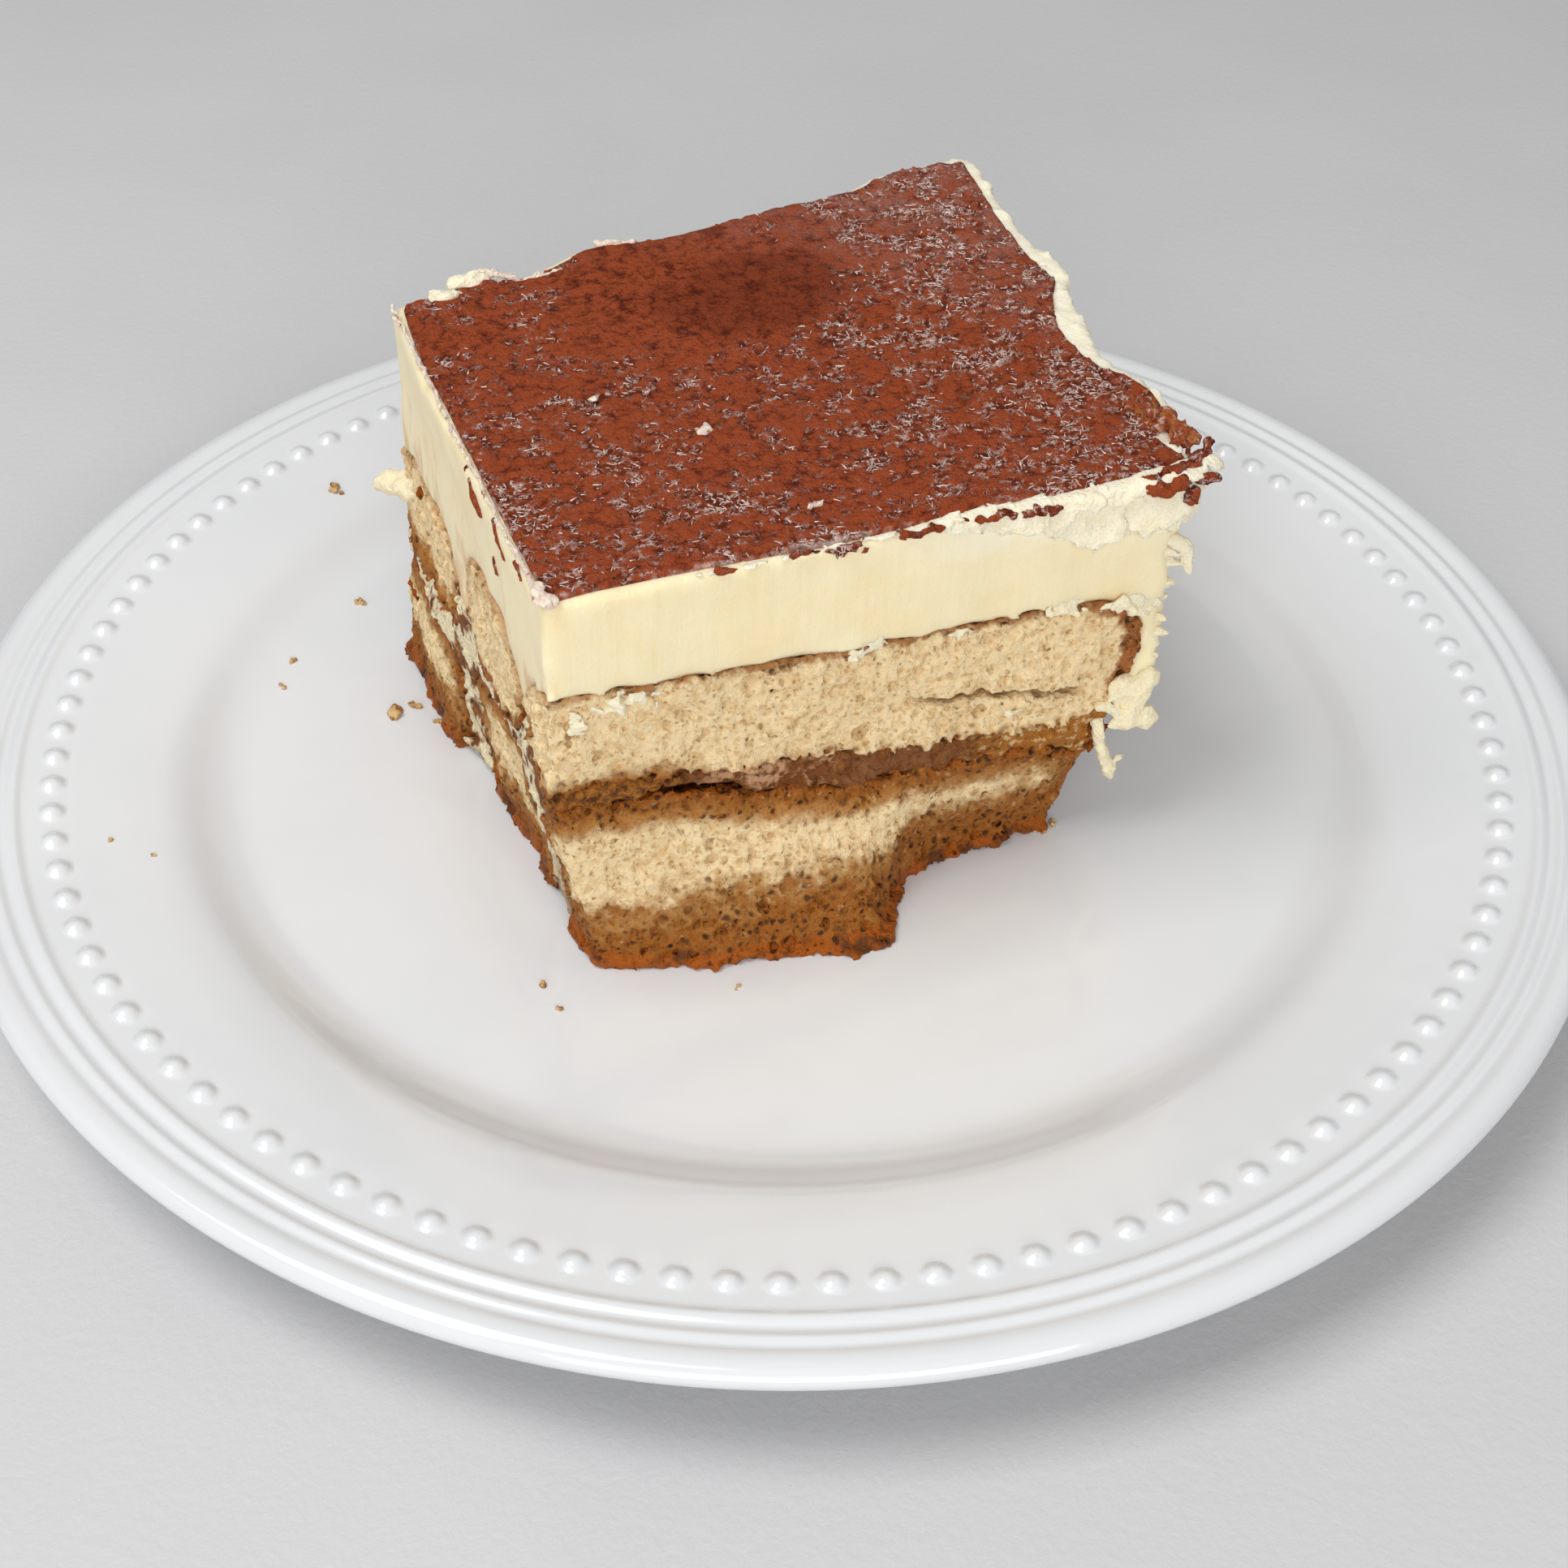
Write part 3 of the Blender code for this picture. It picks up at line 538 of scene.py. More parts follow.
def crumb_marks(net, color, zone, holes, pits):
    """The crumb's colour with flecks of crust and pale threads on it, and painted shade in its hollows, open
    bubbles and pits.
    """
    w = net.axes()[2]
    flecks = net.smooth(net.noise(2.2, 2.0, shift=21.0) - net.mark("near_top") * 0.06, 0.62, 0.85)
    color = net.blend(flecks * (1 - zone.wet) * 0.7, color, CRUST_ORANGE)
    # Painted shade in the crumb's hollows: darker the deeper the surface sinks, and darker still in the
    # soaked crumb
    hollow = net.blend(net.largest(zone.wet, zone.tan * 0.7), CRUMB_HOLLOW_SHADE, SOAKED_DARK_AND_PIT_SHADE)
    color = net.blend(net.smooth(net.mark("deep"), 0.3, 1.3) * 0.6, color, hollow)
    soft = net.largest(zone.wet, zone.tan)
    pale = net.smooth(net.noise(1.5, 3.0, shift=23.0), 0.35, 0.8) * soft * net.smooth(w, 2.5, 4.5)
    color = net.blend(pale * 0.55, color, CRUMB_MID)
    # Painted shade in the open bubbles, and in the pits of the soaked and tanned crumb
    color = net.blend(holes * (soft * 0.4 + 0.28), color, hollow)
    return net.blend(pits * soft * 0.6, color, SOAKED_DARK_AND_PIT_SHADE)


def sponge_finish():
    """Torn crumb: pale foam inside, orange crust by the cream on top, soaked by coffee below."""
    net = Finish("sponge", roughness=0.8, scatter=0.12, scatter_scale=0.001, specular=0.22)
    foam, holes, pits = crumb_bubbles(net)
    zone = soaked_zones(net, foam)
    color = soaked_crumb(net, dry_crumb(net, foam), zone)
    net.feed("Base Color", crumb_marks(net, color, zone, holes, pits))
    net.feed("Roughness", 0.85 - zone.wet * 0.3 - zone.edge * 0.2)
    net.bump(foam * 0.6 + net.noise(0.35, 3.0) * 0.45 - holes * 0.6, 0.26)
    return net.material


def cream_finish():
    net = Finish("cream", roughness=0.42, scatter=0.4, scatter_scale=0.0025, specular=0.35)
    u, _, w = net.axes()
    near_sponge = net.mark("near_sponge")
    streak = net.noise(0.9, 3.0, stretch=(1, 1, 16))
    cloud = net.noise(14.0, 2.0) * 0.6 + net.noise(4.0, 2.0, shift=2.0) * 0.3 + streak * 0.2
    color = net.blend(net.smooth(cloud, -1.3, 0.6), CREAM_DEEP, CREAM)
    white = net.smooth(w + net.noise(3.0, 3.0) * 2.5, 51.0, 56.0) * net.smooth(u, 36.0, 62.0)
    color = net.blend(white, color, CREAM_WHITE)
    smeared = net.smooth(net.noise(2.6, 3.0, stretch=(1, 1, 3), shift=4.0) - (w - 46.0) * 0.06, 0.1, 0.9)
    color = net.blend(smeared * net.smooth(u, 1.6, 0.6) * 0.6, color, BISCUIT_TAN)
    stain = net.smooth(near_sponge + net.noise(1.6, 3.0) * 0.5, 1.1, 0.1)
    stain = stain * net.smooth(net.noise(6.0, 2.0), -0.3, 0.5)
    color = net.blend(stain * 0.6, color, STAINED_ROSE)
    net.feed("Base Color", color)
    net.feed("Roughness", 0.48 + net.noise(2.0, 3.0) * 0.06)
    net.bump(streak * 0.5 + net.noise(0.5, 3.0) * 0.4 + net.noise(2.2, 2.0) * 0.4, 0.07)
    return net.material


def scraped_finish():
    """Cream torn by the knife: whiter and drier than the smooth cut."""
    net = Finish("scraped_cream", roughness=0.6, scatter=0.3, scatter_scale=0.0015, specular=0.3)
    cloud = net.noise(2.0, 3.0)
    whiter = net.smooth(net.axes()[2], 32.0, 50.0) * 0.8 + 0.2
    net.feed("Base Color", net.blend(net.smooth(cloud, -1.2, 0.3) * whiter, CREAM, CREAM_WHITE))
    net.feed("Roughness", 0.6 + cloud * 0.08)
    net.bump(net.noise(0.5, 3.0), 0.14)
    return net.material


def dusted_finish():
    """Cream with cocoa on it, rosy where the cocoa has sunk in."""
    net = Finish("dusted_cream", roughness=0.8, scatter=0.2, scatter_scale=0.001, specular=0.2)
    cloud = net.noise(1.1, 3.0)
    color = net.blend(net.smooth(cloud, -0.5, 0.6), COCOA_PALE, CREAM_WHITE)
    color = net.blend(net.smooth(net.noise(1.4, 4.0, shift=5.0), 0.25, 0.6) * 0.9, color, COCOA)
    net.feed("Base Color", color)
    net.bump(net.noise(0.4, 3.0), 0.15)
    return net.material


def flap_finish():
    """Cocoa skin folded over: orange brown, with cream where it is torn."""
    net = Finish("folded_skin", roughness=0.9, specular=0.2)
    cloud = net.noise(1.3, 4.0, shift=3.0)
    color = net.blend(net.smooth(cloud, -0.2, 0.5), COCOA, CRUST_ORANGE)
    color = net.blend(net.smooth(net.noise(1.0, 4.0), 0.1, 0.6) * 0.8, color, COCOA_PALE)
    net.feed("Base Color", color)
    net.bump(net.noise(0.5, 3.0) + net.noise(1.2, 2.0), 0.35)
    return net.material


def scrap_finish(name, first, second):
    """Loose bits of crumb, of two colours."""
    net = Finish(name, roughness=0.8, specular=0.2)
    color = net.blend(net.smooth(net.noise(1.2, 3.0), -0.2, 0.6), first, second)
    net.feed("Base Color", color)
    net.bump(net.noise(0.4, 3.0), 0.2)
    return net.material


def stained_finish():
    """Cream between the layers: coffee brown in front, and clean cream in the joints at the left."""
    net = Finish("coffee_cream", roughness=0.6, scatter=0.1, scatter_scale=0.001, specular=0.25)
    u, v, _ = net.axes()
    ragged = net.noise(1.1, 4.0)
    cloud = net.noise(5.0, 2.0)
    color = net.blend(net.smooth(cloud + ragged * 0.8, -0.5, 1.0), STAINED, STAINED_GREY)
    color = net.blend(net.smooth(net.noise(2.2, 3.0, shift=6.0), 0.2, 0.75) * 0.85, color, STAINED_ORANGE)
    front = net.smooth(v, 5.0, 3.0)
    soaked_end = net.smooth(u, 19.0, 15.0) * front
    soaked = net.blend(net.smooth(ragged, -0.5, 0.5), SOAKED_DEEP, STAINED_ORANGE)
    color = net.blend(soaked_end * 0.85, color, soaked)
    rosy = net.smooth(u, 18.0, 22.0) * net.smooth(u, 42.0, 32.0) * front
    color = net.blend(rosy * net.smooth(ragged + cloud, -0.3, 0.5) * 0.85, color, STAINED_ROSE)
    crumbly = net.smooth(u + ragged * 4.0, 54.0, 62.0) * front
    crumbs = net.blend(net.smooth(net.noise(1.3, 3.0, shift=8.0), 0.1, 0.5), STAINED_ORANGE, CRUMB_MID)
    color = net.blend(crumbly * 0.9, color, crumbs)
    color = net.blend(net.smooth(ragged, -0.15, -0.8) * 0.85, color, SOAKED_DARK_AND_PIT_SHADE)
    joint = net.smooth(u, 4.0, 1.5) * net.smooth(v, 5.5, 7.5)
    clean = joint * net.smooth(cloud * 1.2 + ragged * 0.4, -0.4, 0.1)
    color = net.blend(clean, color, CREAM)
    net.feed("Base Color", color)
    net.bump(net.noise(0.5, 3.0) + net.noise(1.1, 2.0), 0.25)
    return net.material


def clump_height(net):
    """Height of the cocoa's clumps, from about -1 in the valleys to 1."""
    nearest, _ = net.cells(1.5, bend=net.swirl(2.0, 0.9))
    return net.noise(3.4, 1.0) * 0.3 + (0.45 - nearest) * 1.4 + net.noise(0.75, 2.0, shift=4.0) * 0.3


def moist_clusters(net):
    """Where moisture gathers on the cocoa: above 0 in the clusters of pale threads."""
    u, v, _ = net.axes()
    wetter = net.smooth(u, 40.0, 75.0) * 0.25 + net.smooth(u + v, 60.0, 20.0) * 0.15 + 0.08
    return net.noise(6.5, 3.0, shift=8.0) * 0.9 + wetter


def calm_place(net, middle, reach):
    """1 in the middle of a soft-edged patch of the cocoa, 0 well outside it."""
    u, v, _ = net.axes()
    across, along = (u - middle[0]) / reach[0], (v - middle[1]) / reach[1]
    spread = net.math("SQRT", across * across + along * along) + net.noise(7.0, 3.0, shift=2.0) * 0.3
    return net.smooth(spread, 1.25, 0.7)


def smooth_patch(net):
    """1 in the part of the cocoa where no moisture shows."""
    return calm_place(net, *SMOOTH_PATCH)


def vein_line(net, size, shift=0.0):
    """0 along the crooked lines of a net, and more the farther from them."""
    return net.math("ABSOLUTE", net.noise(size, 2.0, shift=shift, bend=net.swirl(size * 1.6, size, shift)))


def cocoa_finish():
    """Clumped powder with pale threads of moisture, a painted shadow beside each thread, and a pale torn rim.
    """
    net = Finish("cocoa", roughness=1.0, specular=0.1)
    u, v, _ = net.axes()
    height = clump_height(net)
    grain = net.noise(0.3, 3.0)
    shown = 1 - smooth_patch(net)
    # Painted shade: darker in the valleys between the clumps, and in specks where the fine grain, which the
    # bump also raises, is low
    color = net.blend(net.smooth(height + grain * 0.5, -1.0, 0.25), COCOA_DARK_AND_SHADE, COCOA)
    color = net.blend(net.smooth(grain + net.noise(1.0, 3.0) * 0.6, -0.6, -1.3) * 0.6, color, COCOA_DARK_AND_SHADE)
    haze = net.smooth(u + v, 100.0, 150.0) * net.smooth(net.noise(5.0, 3.0, shift=3.0), -0.6, 0.6)
    color = net.blend(haze * 0.6, color, COCOA_HAZE)
    moist = net.smooth(moist_clusters(net) * 0.8 - height * 0.5, 0.0, 0.65) * shown
    coarse, fine = vein_line(net, 1.6), vein_line(net, 0.9, 5.0)
    broken = net.smooth(net.noise(1.0, 2.0, shift=9.0), -0.2, 0.25)
    threads = net.largest(net.smooth(coarse, 0.13, 0.04), net.smooth(fine, 0.17, 0.06)) * broken
    # Painted shadow beside each pale thread
    shade = net.largest(net.smooth(coarse, 0.5, 0.1), net.smooth(fine, 0.6, 0.15))
    color = net.blend(moist * shade * 0.6, color, COCOA_DARK_AND_SHADE)
    color = net.blend(moist * threads * 0.85, color, COCOA_PALE)
    color = net.blend(calm_place(net, *DARK_PATCH) * 0.4, color, COCOA_DARK_AND_SHADE)
    rim = net.mark("rim") + net.noise(1.2, 3.0, shift=6.0) * 0.45
    fringe = net.smooth(rim, 1.0, 1.6) * net.smooth(net.noise(6.0, 2.0, shift=4.0), -0.9, 0.0)
    color = net.blend(fringe * 0.85, color, COCOA_PALE)
    net.feed("Base Color", color)
    net.bump(grain * 0.6 + net.noise(0.8, 2.0) * 0.6, 0.28)
    return net.material


def speck_finish():
    net = Finish("moist_speck", roughness=0.4, scatter=0.2, scatter_scale=0.0005)
    net.feed("Base Color", net.blend(net.smooth(net.noise(1.0), -1, 1), SPECK, SPECK_ROSE))
    return net.material


# Portion

def torn(net, open_right):
    """1 on the cut and torn faces of a ladyfinger, 0 where another layer covers it."""
    u, v, _ = net.axes()
    faces = [net.smooth(u, 7.0, 4.0), net.smooth(v, 11.0, 8.5), net.smooth(v, 65.0, 68.0)]
    if open_right:
        faces.append(net.smooth(u, 64.0, 68.0))
    return net.largest(*faces)


def pores(net, size, widest, bend=None, shift=0.0):
    """Depth of scattered round pores of uneven width."""
    distance, chance = net.cells(size, shift=shift, bend=bend)
    return net.largest(chance * widest - distance, 0.0) * size * 1.6


def split(net):
    """The tear along the lower right of the upper front ladyfinger: depth cut away from its face."""
    u, v, w = net.axes()
    middle, height = TEAR_MIDDLE
    line = height - (u - middle) * TEAR_FALL + net.noise(3.0, 3.0, shift=12.0)
    away = net.math("ABSOLUTE", w - line)
    length = net.smooth(u, 45.0, 52.0) * net.smooth(u, 73.0, 69.0)
    near = net.smooth(away + net.noise(1.0, 3.0) * 0.4, 0.7, 0.3)
    return near * length * net.smooth(v, 3.4, 1.0) * TEAR_DEPTH


def crumb_field(name, guides):
    guide = guides[name]
    foot = name.startswith("sponge_lower")

    def field(net):
        u, _, w = net.axes()
        bend = net.swirl(1.4, 0.5)
        uneven = net.noise(4.5, 1.0, shift=2.0) * 0.35 + net.noise(1.4, 3.0) * 0.46
        uneven = uneven + net.noise(0.7, 1.0) * 0.2
        cavities = pores(net, 1.15, 0.75, bend) + pores(net, 2.9, 0.52, bend, shift=5.0) * 0.8
        hem = net.smooth(gap_to(net, guides["cream_middle"]), 2.6, 0.3)
        tufts = hem * (net.noise(1.5, 3.0, shift=3.0) * 1.1 - 0.1 + net.smooth(u, 38.0, 50.0) * 0.5)
        face = torn(net, foot)
        depth = depth_in(net, guide) + 0.2 + face * (uneven + tufts - cavities + 0.12)
        if name == "sponge_upper_front":
            depth = depth - split(net)
        if foot:
            spread = net.smooth(w, 2.2, 0.4) * (net.noise(4.2, 3.0, shift=9.0) * 0.9 + 0.6)
            depth = net.least(depth + spread * face, w + 0.38)
        return depth
    return field


def make_sponge(name, guides, finish, voxel):
    guide = guides[name]
    marks = {"deep": lambda net: depth_in(net, guide),
             "near_top": lambda net: gap_to(net, guides["cream_top"]),
             "near_middle": lambda net: gap_to(net, guides["cream_middle"])}
    mesh = moulded(name, guide_box(guide), voxel, crumb_field(name, guides), marks=marks, adaptivity=0.22)
    piece(name + "_crumb", mesh, finish, [name])


def cream_field(guide, below):
    """The cream, with a ragged hem; where it wraps the ladyfinger's end in front, it narrows downwards."""
    def field(net):
        u, v, w = net.axes()
        side = net.smooth(u, 79.0, 82.0)
        uneven = net.noise(9.0, 1.0) * 0.25 + side * net.noise(3.0, 2.0, stretch=(1, 1, 0.6)) * 0.6
        hem = net.smooth(gap_to(net, below), 1.6, 0.3) * net.noise(2.6, 3.0, shift=7.0)
        wrap = WRAP_END - net.smooth(w, WRAP_TOP, WRAP_FOOT) * WRAP_NARROWING
        wrap = wrap + net.smooth(v, 4.0, 16.0) * 12.0 - u
        return net.least(depth_in(net, guide) + 0.3 + uneven + hem, wrap)
    return field


def cream_relief(net):
    """Knife streaks on the cuts, and a rougher right edge."""
    u, _, _ = net.axes()
    streak = net.noise(0.9, 3.0, stretch=(1, 1, 16))
    edge = net.smooth(u, 80.5, 83.0) * net.noise(1.6, 2.0, shift=3.0) * 0.5
    return streak * 0.05 + edge


def make_cream_top(guides, sponges, finish):
    guide = guides["cream_top"]
    field = cream_field(guide, guides["sponge_upper_front"])
    marks = {"near_sponge": lambda net: net.least(*[gap_to(net, guides[name]) for name in sponges])}
    mesh = moulded("cream_top", guide_box(guide), CREAM_VOXEL, field, rounds=4, relief=cream_relief,
                   marks=marks)
    piece("cream_top_fine", mesh, finish, ["cream_top"])


def stained_field(guide):
    def field(net):
        u, v, w = net.axes()
        gap = net.smooth(u, 10.0, 15.0) * net.smooth(u, 29.0, 22.0) * net.smooth(v, 6.0, 2.0)
        face = net.largest(net.smooth(v, 6.0, 3.0), net.smooth(u, 5.0, 3.0), net.smooth(u, 60.0, 64.0),
                           net.smooth(v, 66.0, 69.0))
        uneven = net.noise(2.6, 2.0) * 0.8 + net.noise(1.0, 3.0) * 0.55
        return net.least(depth_in(net, guide) + 0.3 + uneven * face - gap * 1.1, w - 0.5)
    return field


def make_cream_middle(guides, finish):
    guide = guides["cream_middle"]
    mesh = moulded("cream_middle", guide_box(guide), STAINED_VOXEL, stained_field(guide), adaptivity=0.4)
    piece("cream_middle_fine", mesh, finish, ["cream_middle"])


def rim_depth(net, cream):
    """Distance of a place on the cocoa from the sides of the cream below it, up to about 2 mm."""
    return depth_in(net, cream, lift=3.0)


def cocoa_field(guide, cream):
    """The cocoa's skin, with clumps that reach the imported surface, on a bed let into the cream."""
    def field(net):
        u, v, _ = net.axes()
        calm = smooth_patch(net)
        hollow = (0.8 - net.math("MINIMUM", clump_height(net), 0.8)) * (0.42 - calm * 0.3)
        bed = net.largest(depth_in(net, guide, lift=-0.5), depth_in(net, guide, lift=-1.0)) - 0.1
        torn_edge = net.smooth(v, 3.5, 1.5) * net.smooth(u, 12.0, 20.0) * 0.9 + 0.1
        ragged = rim_depth(net, cream) + 0.35 - (net.noise(1.9, 3.0, shift=3.0) * 1.2 + 0.7) * torn_edge
        return net.least(net.largest(depth_in(net, guide) - hollow, bed), ragged)
    return field


def make_cocoa(guides, finish):
    guide, cream = guides["cocoa"], guides["cream_top"]
    mesh = moulded("cocoa", guide_box(guide), COCOA_VOXEL, cocoa_field(guide, cream),
                   marks={"rim": lambda net: 2 - rim_depth(net, cream)}, adaptivity=0.06)
    piece("cocoa_powder", mesh, finish, ["cocoa"])


def make_specks(finish):
    """Short pale threads of moisture in the cocoa's valleys."""
    net = new_net("specks")
    host = guide_of(bpy.data.objects["cocoa_powder"])
    facing = net.axes(net.node("GeometryNodeInputNormal").outputs[0])[2]
    density = net.smooth(moist_clusters(net) * 0.8 - clump_height(net) * 0.6, 0.1, 0.9)
    density = density * (1 - smooth_patch(net)) * net.smooth(facing, 0.4, 0.7) * 1.9
    points = net.node("GeometryNodeDistributePointsOnFaces", {
        "Mesh": geometry_of(net, host), "Density": density, "Seed": 4})
    thread = net.node("GeometryNodeMeshCone", {"Vertices": 4, "Radius Top": 0.04, "Radius Bottom": 0.1,
                                               "Depth": 0.9}, fill_type="NGON")
    lying = net.node("GeometryNodeTransform", {"Geometry": thread.outputs[0],
                                               "Rotation": (0.0, math.radians(84), 0.0)})
    spin = net.node("FunctionNodeRandomValue", {0: (0, 0, 0), 1: (0.3, 0.3, math.tau)},
                    data_type="FLOAT_VECTOR")
    size = net.open_node("FunctionNodeRandomValue", [0.45, 1.25], data_type="FLOAT")
    placed = net.node("GeometryNodeInstanceOnPoints", {
        "Points": points.outputs["Points"], "Instance": lying.outputs[0], "Rotation": spin.outputs[0],
        "Scale": size})
    real = net.node("GeometryNodeRealizeInstances", {0: placed.outputs[0]})
    lifted = moved(net, real.outputs[0], offset=(0, 0, 0.02))
    piece("cocoa_specks", mesh_from(net, lifted), finish)
    bpy.data.objects.remove(host, do_unlink=True)


# Loose and torn bits

def stick(net, place, start, end, thick, thin):
    """Depth inside a rounded stick that narrows from its start to its end."""
    way = Vector(end) - Vector(start)
    reach = net.vector("SUBTRACT", place, start)
    share = net.vector("DOT_PRODUCT", reach, way / way.length_squared)
    share = net.largest(net.least(share, 1.0), 0.0)
    near = net.vector("SCALE", way, share)
    return thick - share * (thick - thin) - net.vector("DISTANCE", reach, near)


def lump(net, place, centre, radii):
    """Depth inside an ellipsoid."""
    away = net.vector("DIVIDE", net.vector("SUBTRACT", place, centre), radii)
    return (1 - net.vector("LENGTH", away)) * min(radii)


def make_bits(name, lumps, chains, finish, bend=0.6, ragged=0.25, voxel=0.3):
    """Ragged bits of one kind, from lumps as (centre, radii) and chains of (u, v, w, radius)."""
    sticks = [(a[:3], b[:3], a[3], b[3]) for chain in chains for a, b in zip(chain, chain[1:])]
    ends = [Vector(centre) + Vector(radii) * sign for centre, radii in lumps for sign in (-1, 1)]
    ends += [Vector(place[:3]) for chain in chains for place in chain]

    def field(net):
        place = net.vector("ADD", net.place, net.swirl(2.2, bend))
        shapes = [lump(net, place, *one) for one in lumps] + [stick(net, place, *one) for one in sticks]
        return net.largest(*shapes) + net.noise(1.0, 3.0) * ragged
    mesh = moulded(name, box_round(ends), voxel, field, adaptivity=0.05, least_points=20)
    piece(name, mesh, finish)


def edge_teeth():
    """Small teeth that the knife pulled from the cream's front right edge, as chains."""
    draw = random.Random(5)
    teeth = []
    height = TEETH_FROM
    while height < TEETH_TO:
        narrowed = max(0.0, (WRAP_TOP - height) / (WRAP_TOP - WRAP_FOOT)) ** 1.5
        root = TEETH_ROOT - WRAP_NARROWING * narrowed
        reach = draw.choice(TEETH_REACHES)
        tip = (root + reach, draw.uniform(-0.6, 0.6), height + draw.uniform(-0.5, 0.2), 0.4)
        teeth.append([(root - 1.2, 0.8, height, draw.uniform(0.9, 1.3)), tip])
        height += draw.uniform(*TEETH_STEP)
    return teeth


def shingles(net, size, shift):
    """How far a layer of tilted flakes stands out: most at each flake's lower right edge."""
    place = net.at(size, (1.5, 60.0, 0.9), shift, net.swirl(2.4, 1.3, shift))
    made = net.node("ShaderNodeTexVoronoi", {"Vector": place, "Scale": 1.0})
    across, _, up = net.axes(net.vector("SUBTRACT", place, made.outputs["Position"]))
    return net.axes(made.outputs["Color"])[0] * 0.5 + 0.4 + across * 0.8 - up * 1.3


def flake_field(guide):
    """Flat flakes that lie one over another on the cream's front, under the cocoa's edge."""
    def field(net):
        u, v, w = net.axes()
        out = 0 - depth_in(net, guide)
        drop = net.smooth(u, 46.0, 60.0) * 2.2 + net.smooth(u, 60.0, 69.0) * 4.6
        under = 57.3 + u * 0.0123 - drop
        zone = net.smooth(w - under + net.noise(2.6, 3.0) * 1.2, -0.15, 0.25) * net.smooth(u, 13.0, 20.0)
        zone = zone * net.smooth(v, 0.9, 0.3)
        thick = net.smooth(u, 40.0, 60.0)
        rise = net.largest(shingles(net, 6.0, 3.0) * (thick * 1.2 + 0.2),
                           shingles(net, 2.8, 9.0) * (thick * 0.2 + 0.5))
        rise = rise + net.noise(0.8, 2.0) * 0.12
        return net.least(net.largest(rise, 0.1) * zone - (1 - zone) * 0.8 - out, out + 0.7)
    return field


def make_flakes(guides, finish):
    mesh = moulded("cream_flakes", FLAKE_BOX, FLAKE_VOXEL, flake_field(guides["cream_top"]),
                   adaptivity=0.05, least_points=30)
    piece("cream_flakes", mesh, finish)


def make_cream_bits(scraped, dusted):
    make_bits("cream_bits", CREAM_LOBE, CREAM_STRANDS + edge_teeth(), scraped, bend=0.5, ragged=0.22)
    make_bits("cream_smear", FAR_LUMPS, FAR_SMEAR, scraped, ragged=0.3)
    make_bits("crust_bits", CRUST_BITS, [], scraped, bend=1.3, ragged=0.4, voxel=0.26)
    make_bits("dusted_bits", DUSTED_LUMPS, DUSTED_LIP, dusted, bend=0.4, ragged=0.3, voxel=0.26)
    make_bits("far_rolls", [], FAR_ROLLS, dusted, bend=0.8, ragged=0.3, voxel=0.28)


def make_cocoa_bits(cocoa, flap):
    make_bits("cocoa_bits", COCOA_HEM, COCOA_CURL, cocoa, bend=0.8, ragged=0.35, voxel=0.28)
    make_bits("cocoa_streaks", [], COCOA_STREAKS, cocoa, bend=0.3, ragged=0.12, voxel=0.26)
    make_bits("folded_skin", [], FOLDED_FLAP, flap, bend=1.6, ragged=0.65, voxel=0.28)


def plate_height(radius):
    """Height of the plate's upper side, in millimetres."""
    for (r0, h0), (r1, h1) in zip(PLATE_TOP, PLATE_TOP[1:]):
        if radius <= r1:
            return h0 + (h1 - h0) * max(0.0, radius - r0) / (r1 - r0)
    return PLATE_TOP[-1][1]


def make_crumbs(finish):
    """Crumbs fallen on the plate, each a few joined lumps."""
    draw = random.Random(8)
    work = bmesh.new()
    for x, y, size in FALLEN_CRUMBS:
        for _ in range(3):
            radius = size * draw.uniform(0.35, 0.65)
            centre = Vector((x + draw.uniform(-1, 1) * size * 0.7, y + draw.uniform(-1, 1) * size * 0.7, 0.0))
            centre.z = plate_height(centre.length) + radius * 0.5
            made = bmesh.ops.create_icosphere(work, subdivisions=2, radius=radius)
            for vertex in made["verts"]:
                swell = 1.0 + 0.9 * noise.noise((vertex.co + centre) * 1.5 / size)
                vertex.co = (centre + vertex.co * swell) * MM
    mesh = bpy.data.meshes.new("plate_crumbs")
    work.to_mesh(mesh)
    work.free()
    piece("plate_crumbs", mesh, finish)


def make_portion():
    sponges = [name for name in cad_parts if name.startswith("sponge")]
    guides = {name: guide_of(node) for name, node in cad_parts.items() if name != "plate"}
    crumb = sponge_finish()
    for name in sponges:
        make_sponge(name, guides, crumb, FRONT_CRUMB_VOXEL if name.endswith("front") else CRUMB_VOXEL)
    make_cream_top(guides, sponges, cream_finish())
    make_cream_middle(guides, stained_finish())
    cocoa = cocoa_finish()
    make_cocoa(guides, cocoa)
    make_specks(speck_finish())
    scraped, dusted = scraped_finish(), dusted_finish()
    make_flakes(guides, scraped)
    make_cream_bits(scraped, dusted)
    make_cocoa_bits(cocoa, flap_finish())
    soaked = scrap_finish("soaked_crumb", SOAKED_ORANGE, SOAKED_DEEP)
    make_bits("soaked_bits_right", SOAKED_RIGHT, [], soaked, bend=0.9, ragged=0.5)
    make_bits("soaked_bits_left", SOAKED_LEFT, [], soaked, bend=0.9, ragged=0.5)
    make_crumbs(scrap_finish("loose_crumb", CRUMB_MID, SOAKED))
    for guide in guides.values():
        bpy.data.objects.remove(guide, do_unlink=True)


# Plate

def curve_through(points, steps):
    """Points of a smooth curve through the given ones."""
    spread = []
    ends = [points[0]] + points + [points[-1]]
    for a, b, c, d in zip(ends, ends[1:], ends[2:], ends[3:]):
        for i in range(steps):
            t = i / steps
            spread.append([0.5 * (2 * q + (r - p) * t + (2 * p - 5 * q + 4 * r - s) * t * t
                                  + (3 * q - p - 3 * r + s) * t ** 3) for p, q, r, s in zip(a, b, c, d)])
    return spread + [points[-1]]


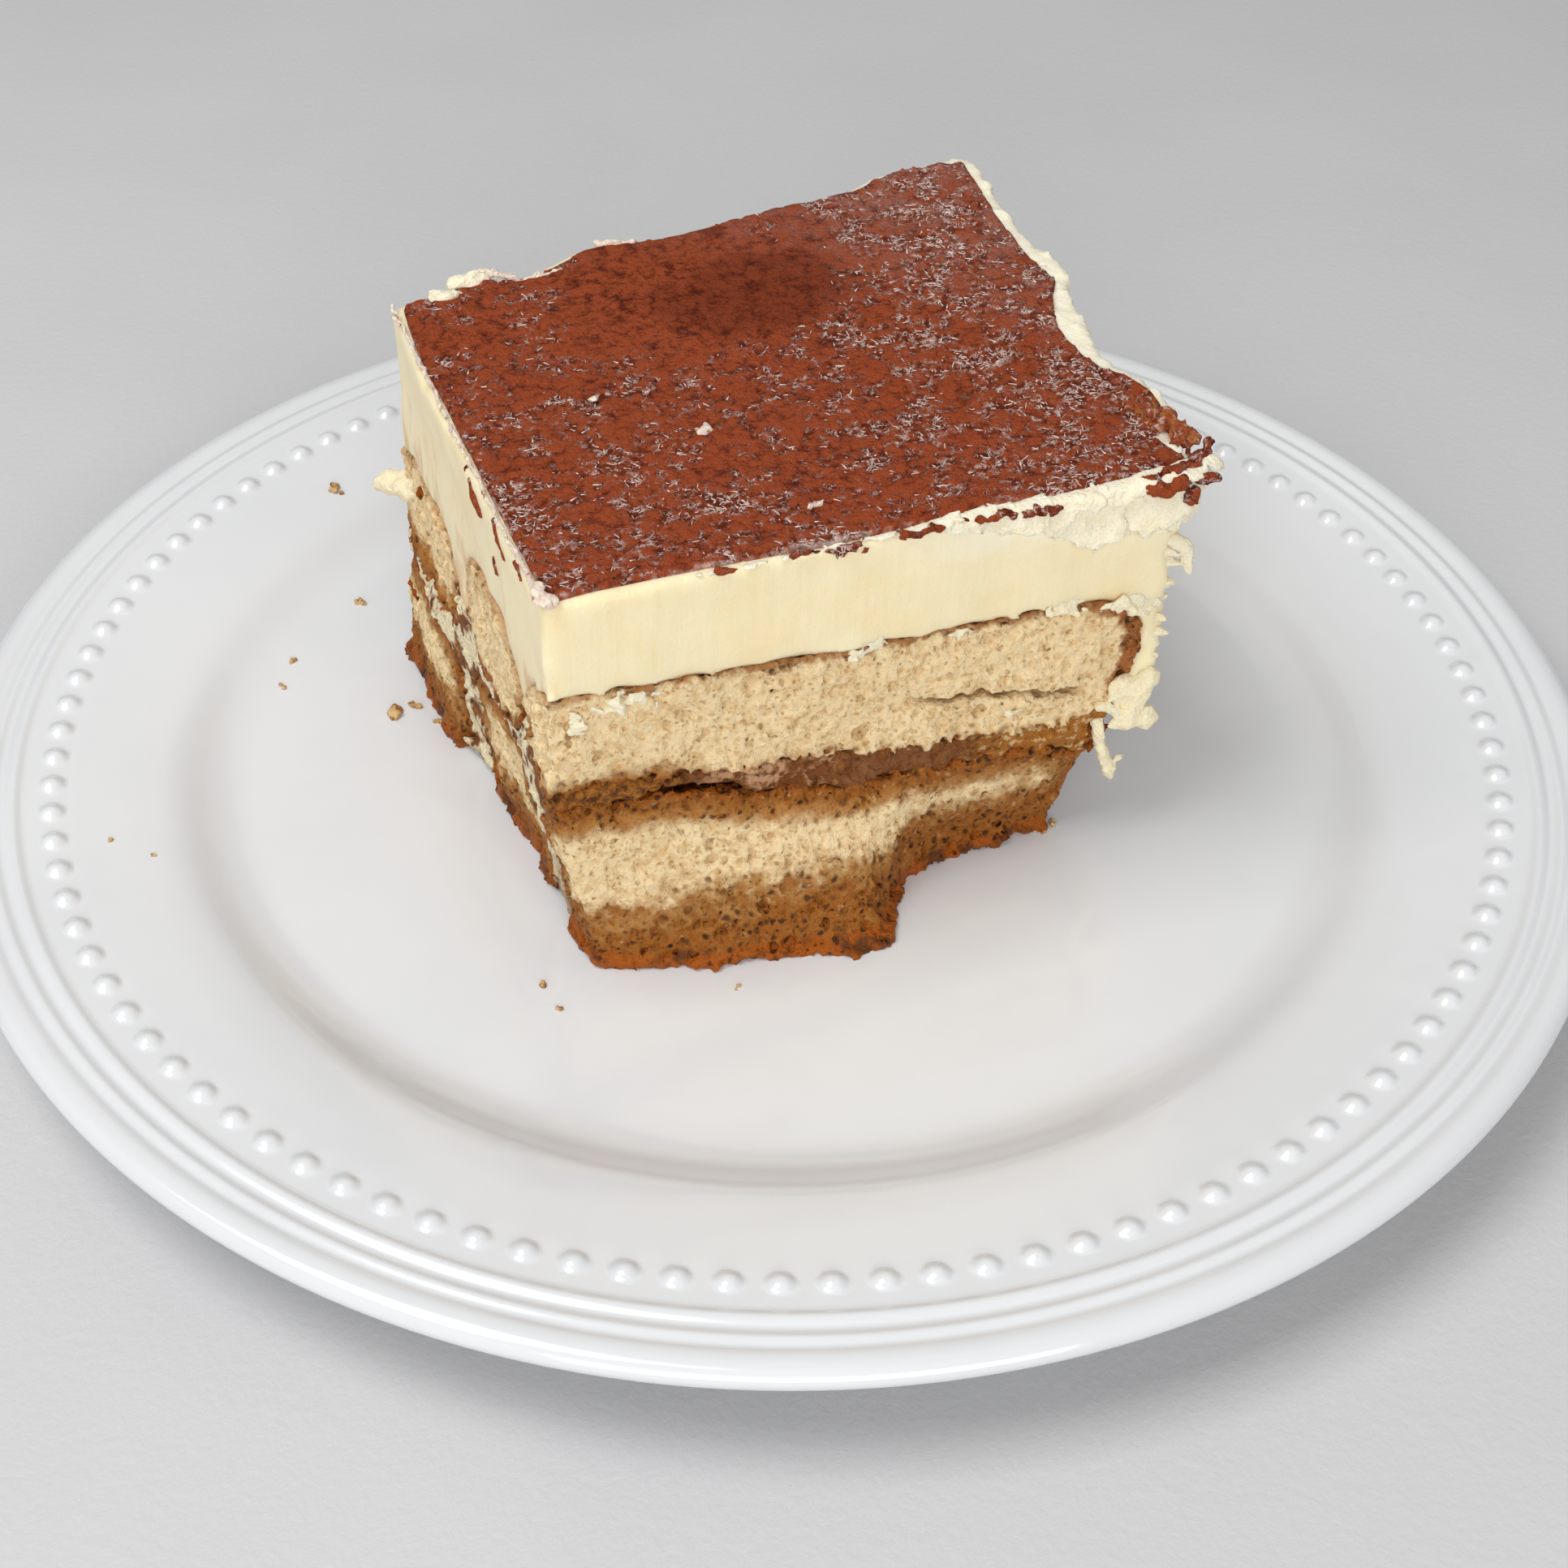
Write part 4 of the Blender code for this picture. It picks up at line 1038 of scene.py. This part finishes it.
class Turning:
    """Rings of points round the Z axis, joined one after another."""

    def __init__(self):
        self.points = []
        self.faces = []
        self.last = None

    def ring(self, radius, height, count):
        heights = height if callable(height) else lambda angle: height
        first = len(self.points)
        for i in range(count):
            angle = math.tau * i / count
            self.points.append([MM * c for c in (radius * math.cos(angle), radius * math.sin(angle),
                                                 heights(angle))])
        if self.last:
            self.join(self.last, (first, count))
        self.last = (first, count)

    def join(self, inner, outer):
        """Faces between two rings, of which one may have a whole number of times the other's points."""
        (a, m), (b, n) = inner, outer
        for i in range(min(m, n)):
            near = [a + k % m for k in range(i * m // min(m, n), (i + 1) * m // min(m, n) + 1)]
            far = [b + k % n for k in range(i * n // min(m, n), (i + 1) * n // min(m, n) + 1)]
            self.faces.append(near + far[::-1])

    def close(self):
        first, count = self.last
        self.faces.append(list(range(first, first + count)))


def bead_rise(radius, angle):
    """Height that the beads add to the rim at a place on it."""
    pitch = math.tau / BEAD_COUNT
    turn = (angle - BEAD_FIRST_ANGLE + pitch / 2) % pitch - pitch / 2
    away = math.hypot(radius - BEAD_RING, BEAD_RING * turn) / BEAD_RADIUS
    return BEAD_HEIGHT * (1 - away * away) ** 0.75 if away < 1 else 0.0


def make_plate(finish):
    coarse, fine = 2 * BEAD_COUNT, STEPS_PER_BEAD * BEAD_COUNT
    inside = curve_through(PLATE_TOP, 3)
    outside = curve_through(PLATE_RIM, 2)
    plate = Turning()
    plate.ring(*inside[0], coarse)
    plate.close()
    plate.faces[-1].reverse()
    for radius, height in inside[1:]:
        plate.ring(radius, height, coarse)
    (r0, h0), (r1, h1) = inside[-1], outside[0]
    for i in range(1, BEAD_ROWS):
        radius = r0 + (r1 - r0) * i / BEAD_ROWS
        slope = h0 + (h1 - h0) * i / BEAD_ROWS
        plate.ring(radius, lambda angle, r=radius, h=slope: h + bead_rise(r, angle), fine)
    for radius, height in outside:
        plate.ring(radius, height, coarse)
    plate.close()
    mesh = bpy.data.meshes.new("plate_glazed")
    mesh.from_pydata(plate.points, [], plate.faces)
    mesh.update()
    piece("plate_glazed", mesh, finish, ["plate"])


# Stage

def area_light(name, location, size, power):
    data = bpy.data.lights.new(name, "AREA")
    data.shape = "RECTANGLE"
    data.size, data.size_y = size
    data.energy = power
    made = new_object(name, data)
    made.location = location
    made.rotation_euler = (LIGHTS_TARGET - made.location).to_track_quat("-Z", "Y").to_euler()


def make_stage():
    mesh = bpy.data.meshes.new("floor")
    corners = [(FLOOR_HALF * x, FLOOR_HALF * y, 0) for x, y in ((-1, -1), (1, -1), (1, 1), (-1, 1))]
    mesh.from_pydata(corners, [], [(0, 1, 2, 3)])
    mesh.materials.append(floor_finish())
    new_object("floor", mesh)


def make_lights():
    world = bpy.data.worlds.new("studio")
    bpy.context.scene.world = world
    world.use_nodes = True
    background = world.node_tree.nodes["Background"]
    background.inputs["Color"].default_value = WORLD_COLOR
    background.inputs["Strength"].default_value = WORLD_STRENGTH
    for light in LIGHTS:
        area_light(*light)


def make_camera():
    data = bpy.data.cameras.new("camera")
    data.sensor_width = SENSOR_WIDTH
    data.lens = SENSOR_WIDTH * FOCAL_PIXELS / PHOTO_WIDTH
    camera = new_object("camera", data)
    turn = Matrix.Rotation(CAMERA_TILT, 4, "X") @ Matrix.Rotation(CAMERA_ROLL, 4, "Z")
    camera.matrix_world = Matrix.Translation(CAMERA_PLACE) @ turn
    bpy.context.scene.camera = camera


bpy.context.scene.view_settings.view_transform = "Standard"
make_camera()
make_lights()
make_stage()
make_plate(porcelain())
make_portion()
